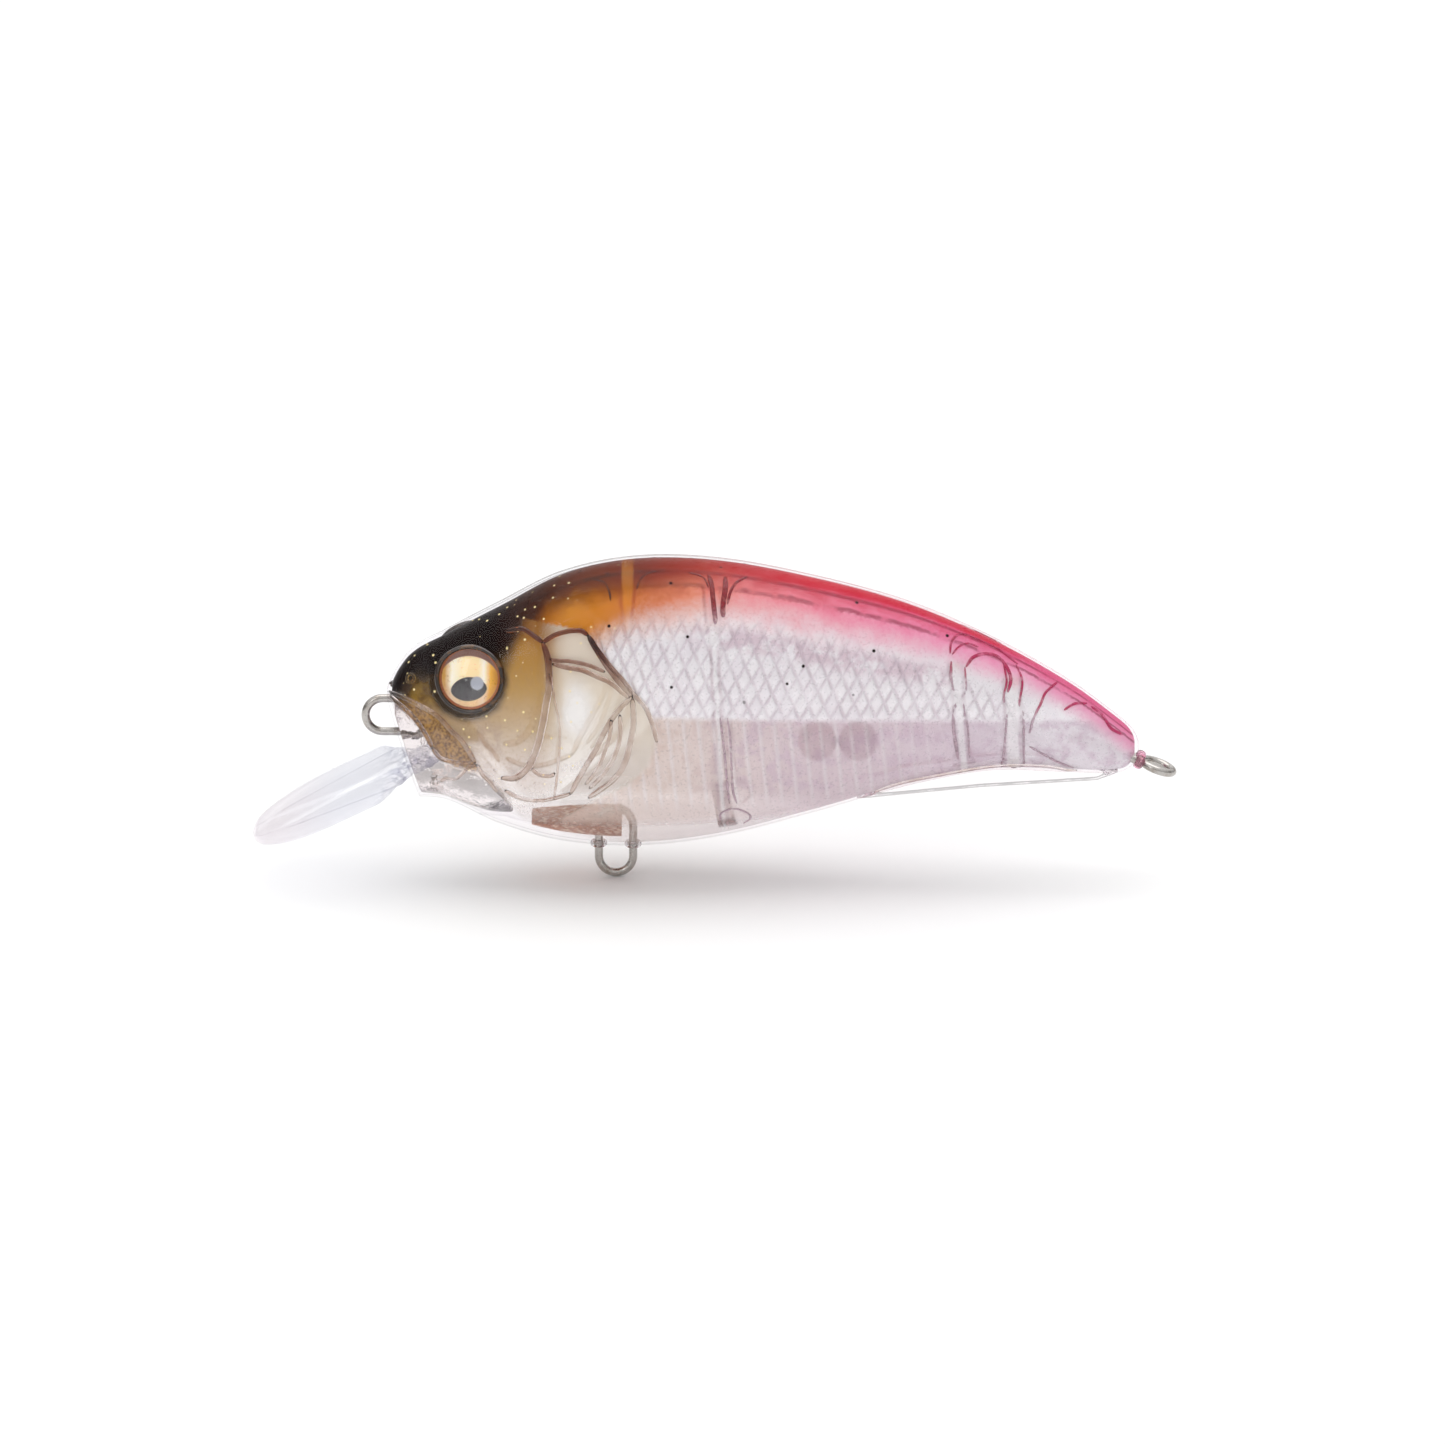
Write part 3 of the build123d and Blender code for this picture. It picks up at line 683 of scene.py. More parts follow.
def ridge_finish():
    """Clear ridges moulded on the head: brown over the dark top, faint below."""
    f = Finish("clear_moulded_ridge")
    vector, _, _, z = f.place()
    ripple = f.noise(vector, 0.8, 3.0)
    faint = f.mix(f.step(ripple, 0.42, 0.58), (0.93, 0.87, 0.84, 1.0), (0.80, 0.70, 0.64, 1.0))
    tint = f.mix(f.step(z + ripple * 2.0, 4.5, 10.0), faint, srgb(150, 86, 50))
    return f.glass(tint, 0.03, f.bump(ripple, 0.3, 0.00012), (0.90, 0.88, 0.88, 1.0))


def lip_finish():
    """Thin clear lip: a faint cool tint that turns rosy at the tip, drawn edges, and blue-violet
    streaks where the root bends light."""
    f = Finish("clear_lip")
    vector, x, _, _ = f.place()
    facing = f.facing()
    streak = f.noise(vector, 0.9, 3.0)
    root = f.step(x, -1.5, 2.6)
    tint = f.mix(f.step(x, -11.0, -3.0), srgb(222, 196, 210), srgb(200, 204, 228))
    tint = f.mix(root * f.step(streak, 0.46, 0.60), tint, srgb(104, 104, 160))
    film = f.principled(Base_Color=tint, Roughness=0.2)
    gloss = f.mirror(0.04, f.bump(f.noise(vector, 0.3, 2.0), 0.4, 0.00012))
    cover = facing**3.0 * 0.40 + 0.035 + root * f.step(streak, 0.48, 0.62) * 0.35
    clear = f.blend(cover, f.window((0.985, 0.985, 0.995, 1.0)), film)
    return f.end(f.blend(facing**4.0 * 0.5 + 0.03, clear, gloss))


def wall_edge_finish():
    """Lines where inner walls meet the coat, painted darker as the shade at the walls' edges:
    near-black brown, crimson and pink near the back, lilac below.
    """
    f = Finish("painted_wall_edge_shade")
    vector, x, _, _ = f.place()
    mottle = f.noise(vector, 1.3, 3.0)
    strong = f.ramp(
        x * (1 / TAIL),
        [
            (0.30, 96, 38, 10), (0.42, 140, 20, 24), (0.60, 172, 24, 66), (0.80, 192, 40, 92),
            (1.00, 200, 58, 110),
        ],
    )
    low_down = f.step(f.attribute("below_back") + (mottle - 0.5) * 2.0, 3.0, 5.6)
    return f.opaque(
        Base_Color=f.mix(low_down, strong, srgb(198, 172, 184)),
        Roughness=mottle * 0.2 + 0.2,
        Alpha=f.step(mottle, 0.30, 0.65) * 0.60 + 0.15,
    )


def coat_finish():
    """The colour coat inside the body: an airbrushed back from near-black brown over amber and orange
    to crimson and pink, pearl flanks pressed with scales, an amber face that runs out into a clear
    champagne cheek, and clear jaws. Light and shade are also painted into it: a shade ring round the
    eye socket, a highlight and a shaded crescent on the cheek, a highlight line along the back,
    light and shade where the inner walls meet it, and reflections of the inner parts."""
    f = Finish("airbrushed_pearl_coat")
    vector, x, _, z = f.place()
    depth, cheek, jaw, scales, grooves, lips = (
        f.attribute(name) for name in ("below_back", "cheek", "jaw", "scales", "grooves", "lips")
    )
    along = x * (1 / TAIL)
    mist = f.noise(vector, 0.55, 4.0, 0.6)
    fine = f.noise(vector, 3.2, 3.0, 0.65)
    wander = (mist - 0.5) * 1.6 + (fine - 0.5) * 0.9
    back = f.ramp(
        along,
        [
            (0.00, 40, 22, 12), (0.08, 20, 9, 8), (0.16, 30, 12, 7), (0.22, 66, 27, 7),
            (0.28, 98, 38, 8), (0.34, 112, 36, 14), (0.40, 146, 40, 26), (0.47, 174, 26, 30),
            (0.58, 190, 10, 44), (0.70, 200, 28, 74), (0.84, 214, 70, 116), (1.00, 222, 104, 146),
        ],
    )
    middle = f.ramp(
        along,
        [
            (0.00, 110, 78, 34), (0.15, 70, 30, 8), (0.20, 168, 92, 18), (0.25, 206, 130, 26),
            (0.30, 206, 124, 40), (0.35, 208, 116, 66), (0.41, 226, 134, 104),
            (0.48, 234, 138, 142), (0.62, 238, 136, 164), (0.76, 240, 148, 184),
            (1.00, 238, 160, 194),
        ],
    )
    depth = depth * (f.step(x, 44.0, 70.0) * 0.75 + 1.0)
    fade_back = (1.0 - f.step(along, 0.165, 0.225)) * 2.4
    fade_flank = (1.0 - f.step(along, 0.235, 0.36)) * 2.0
    behind = f.step(x, 24.0, 34.0)
    to_middle = f.step(depth + wander - fade_back + behind * 0.9, 0.5, 3.0)
    to_flank = f.step(depth + wander * 1.3 - fade_flank + behind * 1.2, 2.4, 6.8)

    # the flank's scales and grooves: a line wherever a family's number is near a half
    lean = (x - z * SCALE_LEAN) * (1 / SCALE_LENGTH)
    first = lean + z * (1 / SCALE_HEIGHT) + (mist - 0.5) * 0.16
    second = lean - z * (1 / SCALE_HEIGHT) - (mist - 0.5) * 0.16
    near_first = abs(f.math("FRACT", first) - 0.5)
    near_second = abs(f.math("FRACT", second) - 0.5)
    ragged = (fine - 0.5) * 0.07
    line = f.step(f.most(near_first, near_second) + ragged, 0.30, 0.50) * scales
    line = line * (f.step(mist, 0.30, 0.62) * 0.65 + 0.35)
    floors = {"s0": f.math("FLOOR", first), "s1": f.math("FLOOR", second)}
    cell = f.node("CombineXYZ", **floors).outputs[0]
    chance = f.node("TexWhiteNoise", {"noise_dimensions": "2D"}, Vector=cell).outputs[0]
    groove = abs(f.math("FRACT", (x + z * GROOVE_LEAN) * (1 / SCALE_LENGTH)) - 0.5)
    groove_line = f.step(groove + ragged, 0.26, 0.50) * grooves

    # pearl above the panel's edge, lilac and beige below it
    pearl = f.mix(Value(f, chance) * 0.45, srgb(253, 251, 253), srgb(238, 230, 238))
    # the mauve band along the upper flank is a painted reflection of the parts inside the body
    mauve = f.band(depth, 4.2, 5.4, 6.0, 7.6) * f.band(x, 27.0, 33.0, 52.0, 57.0)
    pearl = f.mix(mauve * f.step(mist, 0.36, 0.56) * 0.75, pearl, srgb(220, 194, 206))
    pearl = f.mix(line * 0.55, pearl, srgb(202, 184, 196))
    tone = f.ramp(
        along,
        [
            (0.30, 234, 216, 204), (0.42, 230, 212, 206), (0.55, 225, 205, 211),
            (0.78, 225, 207, 219), (0.87, 240, 233, 239),
        ],
    )
    # darker patches on the lower flank are painted reflections of the dark parts inside, seen through
    # the wall
    dark_reflection_patch = f.step(mist, 0.44, 0.62) * f.step(z, -7.5, -5.0)
    dark_reflection_colour = f.mix(f.step(x, 26.0, 36.0), srgb(214, 186, 168), srgb(204, 176, 196))
    lower = f.mix(dark_reflection_patch * 0.55, tone, dark_reflection_colour)
    lower = f.mix(groove_line * 0.50, lower, srgb(248, 242, 244))
    lower = f.mix(f.step(fine, 0.52, 0.75) * 0.14, lower, srgb(200, 178, 186))
    edge = z + x * PANEL_SLOPE - PANEL_EDGE
    below = 1.0 - f.step(edge + (fine - 0.5) * 0.5, -0.55, 0.30)
    upper = f.mix(to_middle, back, middle)
    body = f.mix(to_flank, upper, f.mix(below, pearl, lower))

    # the seam's double line along the back, and a brighter crimson line above it towards the tail,
    # painted as a highlight
    dark_line = f.mix(f.step(along, 0.3, 0.5), srgb(36, 10, 6), srgb(122, 4, 34))
    broken = f.step(mist, 0.34, 0.58)
    body = f.mix(f.band(depth, 0.30, 0.42, 0.50, 0.66) * (broken * 0.4 + 0.2), body, dark_line)
    second_seam = f.band(depth + wander * 0.4, 1.15, 1.35, 1.45, 1.75)
    body = f.mix(second_seam * f.step(along, 0.22, 0.5) * broken * 0.6, body, dark_line)
    painted_top_highlight = (1.0 - f.step(depth, 0.10, 0.34)) * f.band(x, 34.0, 42.0, 58.0, 64.0)
    body = f.mix(painted_top_highlight * 0.7, body, srgb(200, 8, 36))

    # the moulded walls show where they meet the coat: a pale core of painted light through the clear
    # wall, between darker lines of painted shade at its edges
    painted_wall_shade = f.mix(to_middle, srgb(96, 26, 12), srgb(150, 44, 44))
    painted_wall_shade = f.mix(to_flank, painted_wall_shade, srgb(190, 166, 176))
    painted_wall_light = f.mix(f.step(along, 0.36, 0.40), srgb(228, 150, 40), srgb(214, 96, 100))
    painted_wall_light = f.mix(to_flank, painted_wall_light, srgb(252, 250, 251))
    wall_mark = 0.0
    for centre, slant, wide, narrow, waist, shoulder, low_end, high_end, fade in WALL_MARKS:
        off = abs(x + z * slant - centre + (mist - 0.5) * 0.35)
        off = off - (f.step(z, waist, shoulder) * (wide - narrow) + narrow)
        reach = f.band(z, low_end, low_end + fade, high_end - 0.8, high_end)
        core = (1.0 - f.step(off, -0.40, -0.10)) * reach
        rim = f.band(off, -0.34, -0.06, -0.02, 0.26) * reach
        rim = rim * (f.step(mist, 0.38, 0.62) * 0.65 + 0.25)
        body = f.mix(core * (to_flank * 0.4 + 0.30), body, painted_wall_light)
        body = f.mix(rim * 0.55, body, painted_wall_shade)
        wall_mark = f.most(wall_mark, rim * 0.6)

    # the face: dark on top, amber and olive below it, running out into clear champagne
    face = f.ramp(
        (z + 8.0) * (1 / 20.0),
        [
            (0.00, 236, 222, 212), (0.25, 216, 192, 168), (0.40, 202, 172, 128),
            (0.60, 192, 150, 78), (0.80, 178, 126, 42), (0.90, 146, 92, 24),
        ],
    )
    face = f.mix(f.step(fine, 0.48, 0.70) * 0.5, face, srgb(166, 128, 76))
    behind_cheek = f.step(x, 14.8, 18.0)
    face = f.mix(behind_cheek * 0.80, face, srgb(242, 232, 212))
    blotch = f.step(mist, 0.44, 0.58) * f.band(x, 7.5, 9.5, 11.5, 14.0)
    face = f.mix(blotch * f.band(z, -7.0, -4.5, -0.5, 1.5) * 0.55, face, srgb(160, 122, 90))
    top_shift = f.step(x, 11.5, 15.0) * 4.2 + (1.0 - f.step(x, 3.0, 6.5)) * 1.6
    top_dark = 1.0 - f.step(depth + wander * 0.8 + top_shift, 2.8, 6.6)
    # a darker ring round the eye socket is painted shade, laid on in the head's own dark paint colours
    from_eye = f.distance(x - EYE_X + 0.35, z - EYE_Z + 0.30)
    socket = 1.0 - f.step(from_eye + wander * 0.4, 3.4, 4.4)
    snout = (1.0 - f.step(x, 3.2, 6.4)) * f.step(z, -2.0, 1.5)
    snout_colour = f.mix(f.step(mist, 0.40, 0.60), srgb(96, 62, 16), srgb(168, 130, 46))
    face = f.mix(snout * 0.85, face, snout_colour)
    lip_colour = f.mix(f.step(fine, 0.36, 0.62), srgb(186, 138, 62), srgb(104, 64, 18))
    face = f.mix(lips * 0.85, face, lip_colour)
    head_dark_and_socket_shade = f.mix(f.step(x, 10.0, 15.0), srgb(20, 9, 8), srgb(52, 20, 7))
    face = f.mix(f.most(socket * 0.94, top_dark), face, head_dark_and_socket_shade)
    # a soft white highlight painted on the gill cover, where the coat also hides more
    from_cheek_highlight = f.distance(x - 18.6, (z - 2.4) * 0.62)
    painted_cheek_highlight = (1.0 - f.step(from_cheek_highlight + wander * 0.5, 0.5, 2.4)) * cheek
    face = f.mix(painted_cheek_highlight * 0.9, face, srgb(254, 253, 251))
    # a greyish crescent below the cheek highlight, painted shade at the lower edge of the bulge
    painted_cheek_shade = f.band(f.distance(x - 17.6, z + 0.8), 1.9, 2.4, 2.7, 3.2)
    painted_cheek_shade = painted_cheek_shade * (1.0 - f.step(z, -2.6, -1.6)) * f.step(x, 16.8, 17.6)
    face = f.mix(painted_cheek_shade * f.step(fine, 0.38, 0.6) * 0.6, face, srgb(150, 124, 118))
    colour = f.mix(cheek, body, face)

    # gold flecks over the head and black specks over the rest
    on_head = (1.0 - f.step(x, 15.0, 26.0)) * f.step(z, -7.0, -4.0)
    gold = f.dots(vector, 1.15, 0.10, 0.18, (0.42, 0.46)) * on_head
    colour = f.mix(gold, colour, srgb(255, 236, 172))
    speck = f.dots(vector, 0.46, 0.060, 0.095, (0.36, 0.38)) * (1.0 - cheek)
    speck = speck * f.step(z, 1.0, 5.0) * (1.0 - f.step(x, 54.0, 58.0))
    colour = f.mix(speck, colour, srgb(30, 16, 14))

    # how much of what is behind the coat it hides
    flank_cover = 0.82 - below * 0.18 + f.step(x, 60.0, 66.0) * 0.14
    cover = 0.95 + to_flank * (flank_cover - 0.95)
    face_cover = f.step(z, -9.0, 5.0) * 0.54 + 0.32 - behind_cheek * 0.16
    face_cover = f.most(face_cover, f.most(snout, lips) * 0.86)
    face_cover = f.most(face_cover, f.most(socket, top_dark) * 0.95, painted_cheek_highlight * 0.8)
    cover = cover + cheek * (face_cover - cover)
    cover = cover * (f.step(z, -9.8, -8.4) * 0.55 + 0.45)
    alpha = f.most(cover * (1.0 - jaw * 0.94), speck, gold * (1.0 - jaw), wall_mark)
    relief = line * -0.7 + groove_line * 0.6 + mist * 0.3
    return f.opaque(
        Base_Color=colour,
        Metallic=to_flank * (1.0 - cheek) * 0.22,
        Roughness=f.step(fine, 0.2, 0.9) * 0.25 + 0.22,
        Alpha=alpha,
        Specular_IOR_Level=0.05,
        Coat_Weight=to_flank * 0.2,
        Coat_Roughness=0.1,
        Normal=f.bump(relief, 0.7, 0.0002),
    )


def steel_finish():
    """Drawn stainless wire: fine lines along it, a little brown in patches."""
    f = Finish("drawn_steel_wire")
    vector = f.place()[0]
    drawn = f.noise(vector, 6.0, 3.0)
    stain = f.step(f.noise(vector, 1.1, 3.0), 0.45, 0.75) * 0.7
    return f.opaque(
        Base_Color=f.mix(stain, srgb(188, 184, 180), srgb(150, 136, 122)),
        Metallic=1.0,
        Roughness=drawn * 0.22 + 0.14,
        Normal=f.bump(drawn, 0.25, 0.00004),
    )


def ballast_finish():
    """Cast copper-coloured weight: uneven and dull."""
    f = Finish("cast_copper_ballast")
    vector = f.place()[0]
    cast = f.noise(vector, 1.4, 5.0, 0.65)
    copper = [(0.36, 226, 164, 128), (0.48, 178, 100, 72), (0.60, 250, 222, 204)]
    return f.opaque(
        Base_Color=f.ramp(cast, copper),
        Metallic=0.75,
        Roughness=f.noise(vector, 4.0, 2.0) * 0.3 + 0.22,
        Normal=f.bump(cast, 0.9, 0.0003),
    )


def ball_finish():
    """Plain metal balls, a little dull."""
    f = Finish("plain_metal_balls")
    rub = f.noise(f.place()[0], 1.6, 4.0)
    return f.opaque(
        Base_Color=f.mix(rub, srgb(188, 160, 160), srgb(214, 198, 200)),
        Metallic=0.85,
        Roughness=rub * 0.25 + 0.16,
        Normal=f.bump(rub, 0.2, 0.00008),
    )


# Eye axes: forward on the eye's face, up on it, and straight out of it, for the left eye
EYE_ACROSS = np.array([cos(EYE_YAW), -sin(EYE_YAW), 0])
EYE_OUT = np.array(
    [-sin(EYE_YAW) * cos(EYE_PITCH), -cos(EYE_YAW) * cos(EYE_PITCH), sin(EYE_PITCH)]
)
EYE_UP = np.cross(EYE_OUT, EYE_ACROSS)
EYE_CENTRE = np.array([EYE_X, -float(half_width_at(EYE_X, EYE_Z)), EYE_Z])


def iris_finish():
    """Gold foil eye: pale and mirror-like, its near-white parts partly painted highlight, with a deeper
    gold edge, a copper ring, a mauve upper lid, a tilted dark pupil and one round painted highlight in
    it.
    The pattern lies on the eye's own across and up axes, and y is made negative so that both eyes read
    the left one's."""
    f = Finish("gold_foil_iris")
    vector, x, y, z = f.place()
    place = f.node("CombineXYZ", s0=x, s1=abs(y) * -1.0, s2=z).outputs[0]
    subtract, dot = {"operation": "SUBTRACT"}, {"operation": "DOT_PRODUCT"}
    local = f.node("VectorMath", subtract, s0=place, s1=tuple(EYE_CENTRE)).outputs[0]
    u, v = (
        Value(f, f.node("VectorMath", dot, s0=local, s1=tuple(axis)).outputs["Value"])
        for axis in (EYE_ACROSS, EYE_UP)
    )
    grain = f.noise(vector, 3.0, 3.0)
    gold = f.ramp(
        (u + 3.0) * (1 / 6.0) + (grain - 0.5) * 0.06,
        [
            (0.10, 214, 170, 90), (0.22, 255, 252, 238), (0.40, 252, 236, 196),
            (0.62, 250, 232, 190), (0.72, 252, 250, 240), (0.82, 240, 190, 70),
            (0.95, 196, 128, 30),
        ],
    )
    gold = f.mix((1.0 - f.step(v, -1.6, -0.2)) * 0.55, gold, srgb(206, 150, 78))
    lid_away = f.math("SQRT", u * u * 0.92 + (v + 1.0) * (v + 1.0))
    lid = f.step(lid_away, 2.95, 3.1)
    colour = f.mix(lid, gold, srgb(140, 98, 86))
    ring = f.step(f.math("SQRT", u * u + v * v), 2.62, 2.72)
    colour = f.mix(ring, colour, srgb(168, 96, 56))
    tilt = radians(9)
    along = ((u + 0.05) * cos(tilt) + (v + 0.85) * sin(tilt)) * (1 / 1.78)
    height = (v + 0.85) * cos(tilt) - (u + 0.05) * sin(tilt)
    flat_top = f.step(height, -0.4, 1.1) * 0.25
    pupil = 1.0 - f.step(f.distance(along, height * (1 / 1.28)) + flat_top, 0.94, 1.02)
    colour = f.mix(pupil, colour, f.mix(grain, srgb(46, 42, 46), srgb(88, 84, 88)))
    # a round highlight painted on the pupil
    painted_eye_highlight = 1.0 - f.step(f.distance(u - 0.72, v + 0.42), 0.52, 0.70)
    colour = f.mix(painted_eye_highlight, colour, srgb(186, 190, 202))
    return f.opaque(
        Base_Color=colour,
        Metallic=(1.0 - f.most(pupil, lid, painted_eye_highlight)) * 0.25,
        Roughness=grain * 0.2 + 0.2,
        Coat_Weight=0.3,
        # the foil glows faintly in its own colour, painted light that brightens it
        Emission_Color=colour,
        Emission_Strength=0.22,
    )


def rim_finish():
    """Glossy dark moulding round the eye, amber where it catches light."""
    f = Finish("dark_eye_socket")
    mottle = f.noise(f.place()[0], 1.2, 4.0)
    amber = f.step(mottle, 0.48, 0.75) * 0.6
    return f.opaque(
        Base_Color=f.mix(amber, srgb(34, 18, 12), srgb(120, 78, 30)),
        Roughness=mottle * 0.15 + 0.08,
        Coat_Weight=0.6,
        Coat_Roughness=0.03,
        Normal=f.bump(mottle, 0.3, 0.0001),
    )


clear_wall = skin_finish()
wall_inside = inside_finish()
coat = coat_finish()
clear_ridge = ridge_finish()
clear_inner = clear_plastic("clear_inner_wall", (0.985, 0.96, 0.965, 1.0))
clear_jaw = clear_plastic("clear_jaw_block", (0.95, 0.91, 0.90, 1.0), wave=1.9, grain=0.8)
clear_lip = lip_finish()
clear_lens = clear_plastic("domed_eye_resin", (1.0, 1.0, 1.0, 1.0), (0.98, 0.98, 0.98, 1.0), 0.0)
steel = steel_finish()
rim_dark = rim_finish()

# CAD nodes that stay, with better finishes ------------------------------------------------------
for finish, nodes in (
    (steel, ("line_tie", "belly_hanger", "tail_hanger")),
    (ballast_finish(), ("belly_ballast",)),
    (ball_finish(), ("balancer_ball_front", "balancer_ball_rear")),
    (clear_lens, ("eye_lens_left", "eye_lens_right")),
    (iris_finish(), ("eye_foil_left", "eye_foil_right")),
):
    for node in nodes:
        frame["nodes"][node].data.materials.clear()
        frame["nodes"][node].data.materials.append(finish)


# Body -------------------------------------------------------------------------------------------
def end_round(x, first, last):
    """How far the surface draws in near an end: r - sqrt(r^2 - (r - distance)^2)."""
    near = np.minimum(x - first, last - x)
    short = np.clip(EDGE_ROUND - near, 0, EDGE_ROUND)
    return EDGE_ROUND - np.sqrt(np.maximum(EDGE_ROUND**2 - short**2, 0))


def rake_chin(points, inset):
    """Moves what lies ahead of the sloping face of the chin back onto it."""
    face = NOSE + inset + np.maximum(CHIN_RAKE_TOP - points[..., 2], 0) * tan(CHIN_RAKE)
    moved = points.copy()
    moved[..., 0] = np.maximum(points[..., 0], face)
    return moved


def sink_eye(points, floor):
    """Presses the surface down to a round floor square to the eye's axis, with a soft edge."""
    local = points - EYE_CENTRE
    height = local @ EYE_OUT
    radius = np.hypot(local @ EYE_ACROSS, local @ EYE_UP)
    inside = (1 - smooth(radius, EYE_RADIUS + 0.02, EYE_RADIUS + 0.3)) * (height > -3)
    drop = np.maximum(height - floor, 0) * inside
    return points - drop[..., None] * EYE_OUT


def line_relief(points):
    """Soft swelling under each moulded ridge of the head: height exp(-(distance / width)^2)."""
    flat = points[..., [0, 2]]
    relief = np.zeros(flat.shape[:-1])
    head = flat[..., 0] < 28
    at = flat[head]
    for line, width, height in RIDGES[:-1]:
        p = np.array(line)
        near = np.full(len(at), 1e9)
        for a, b in zip(p[:-1], p[1:]):
            t = np.clip((at - a) @ (b - a) / ((b - a) @ (b - a)), 0, 1)[:, None]
            near = np.minimum(near, np.linalg.norm(at - a - t * (b - a), axis=1))
        swelling = height * 0.5 * np.exp(-((near / (width * 0.8)) ** 2))
        relief[head] = np.maximum(relief[head], swelling)
    return relief


stations = np.concatenate(
    [
        NOSE + EDGE_ROUND * (1 - np.cos(np.linspace(0, np.pi / 2, 14, endpoint=False))),
        np.linspace(NOSE + EDGE_ROUND, 27, 190, endpoint=False),
        np.linspace(27, TAIL - EDGE_ROUND, 170, endpoint=False),
        TAIL - EDGE_ROUND + EDGE_ROUND * np.sin(np.linspace(0, np.pi / 2, 14)),
    ]
)


def body_half():
    """The left wall as one closed shell: its outer surface, its inner one, and the seam faces
    between them on the mid-plane; the inner one closes to the mid-plane at the two ends."""
    t = np.linspace(0, 1, WALL_POINTS)
    x = stations[:, None]
    outer = rake_chin(body_surface(x, t, end_round(x, NOSE, TAIL)), 0.0)
    top, bottom = lines_at(outer[..., 0])[:2]
    normal = surface_normal(outer[..., 0], np.clip(outer[..., 2], bottom + 0.4, top - 0.4))
    outer = outer + normal * line_relief(outer)[..., None]
    outer = sink_eye(outer, POCKET_FLOOR - 0.04)
    inner = body_surface(x, t, WALL)
    opening = smooth(x, NOSE + WALL, NOSE + 2.2) * smooth(-x, -TAIL + WALL, -TAIL + 2.2)
    inner[..., 1] *= np.sqrt(opening)
    inner = sink_eye(rake_chin(inner, WALL), POCKET_FLOOR - WALL)
    rings = np.concatenate([outer, inner[:, ::-1]], 1)
    rings[..., 1] = np.minimum(rings[..., 1], -SEAM_GAP)
    rows, columns = rings.shape[:2]
    k = np.arange(len(t) - 1)
    cap = np.stack([k, k + 1, columns - 2 - k, columns - 1 - k], -1)
    faces = [grid_faces(rows, columns), cap[:, ::-1], cap + (rows - 1) * columns]
    return rings.reshape(-1, 3), faces


left_wall = body_half()
right_wall = mirrored(left_wall)
for side, wall in (("left", left_wall), ("right", right_wall)):
    piece = add_mesh(f"body_wall_{side}", *wall, clear_wall)
    piece.data.materials.append(wall_inside)
    ring = 2 * WALL_POINTS
    on_inside = np.arange(len(piece.data.polygons)) % ring >= WALL_POINTS - 1
    on_inside[(len(stations) - 1) * ring :] = False
    piece.data.polygons.foreach_set("material_index", on_inside.astype(np.int32))
    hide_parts(f"body_{side}_half")


def coat_depth(x):
    """How far the coat lies inside the outer surface: deeper over the head."""
    return HEAD_COAT_DEPTH + (BACK_COAT_DEPTH - HEAD_COAT_DEPTH) * smooth(x, 12, 20)


def coat_rings():
    """The coat as rings round the body, with scales pressed outwards: each cell swells as
    (1 - |2a - 1|^3)(1 - |2b - 1|^3) of its place a, b between the two families of lines."""
    half = np.linspace(0, 1, 108)
    x = stations[8:-8, None]
    inset = coat_depth(x) + (BACK_COAT_DEPTH - coat_depth(x)) * smooth(half, 0.35, 0.8)
    inset = inset + end_round(x, float(x[0, 0]), float(x[-1, 0])) * 0.8
    left = rake_chin(body_surface(x, half, inset), HEAD_COAT_DEPTH)
    x, z = left[..., 0], left[..., 2]
    back, belly = lines_at(x)[:2]
    below_back = back - coat_depth(x) - z
    cheek = smooth(np.interp(z, GILL_LINE_Z, GILL_LINE_X) - x, -0.25, 0.45)
    jaw = smooth(np.interp(x, FACE_LINE_X, FACE_LINE_Z) - z, -0.1, 0.9)
    edge = z + x * PANEL_SLOPE - PANEL_EDGE
    behind = (1 - cheek) * smooth(-x, -68, -60)
    scales = behind * smooth(edge, -0.15, 0.25) * smooth(below_back, 3.4, 5.2)
    grooves = behind * smooth(-edge, 0.0, 0.5) * smooth(z, -8.5, -6.0) * smooth(-x, -58, -44)
    lean = (x - z * SCALE_LEAN) / SCALE_LENGTH
    swelling = 1.0
    for family in (lean + z / SCALE_HEIGHT, lean - z / SCALE_HEIGHT):
        swelling = swelling * (1 - np.abs(2 * (family % 1) - 1) ** 3)
    groove = np.cos(2 * np.pi * (x + z * GROOVE_LEAN) / SCALE_LENGTH)
    height = swelling * scales * 0.22 + groove * grooves * 0.07
    outward = np.stack([0 * x, left[..., 1], z - (back + belly) / 2], -1)
    outward /= np.maximum(np.linalg.norm(outward, axis=-1, keepdims=True), 1e-6)
    left = sink_eye(left + outward * height[..., None], POCKET_FLOOR - 0.1)
    mouth = np.interp(left[..., 0], *np.array(MOUTH_UPPER).T)
    lips = smooth(mouth - left[..., 2], -0.1, 0.3) * smooth(-left[..., 0], -9.6, -8.8)
    left[:, [0, -1], 1] = 0
    stored = {
        "below_back": below_back, "cheek": cheek, "jaw": jaw, "scales": scales,
        "grooves": grooves, "lips": lips,
    }
    for key, value in stored.items():
        both = np.concatenate([value, value[:, -2:0:-1]], 1)
        stored[key] = np.concatenate([both.ravel(), [both[0].mean(), both[-1].mean()]])
    return np.concatenate([left, left[:, -2:0:-1] * [1, -1, 1]], 1), stored


coat_surface, coat_attributes = coat_rings()
add_mesh("colour_coat", *closed_rings(coat_surface), coat, attributes=coat_attributes)


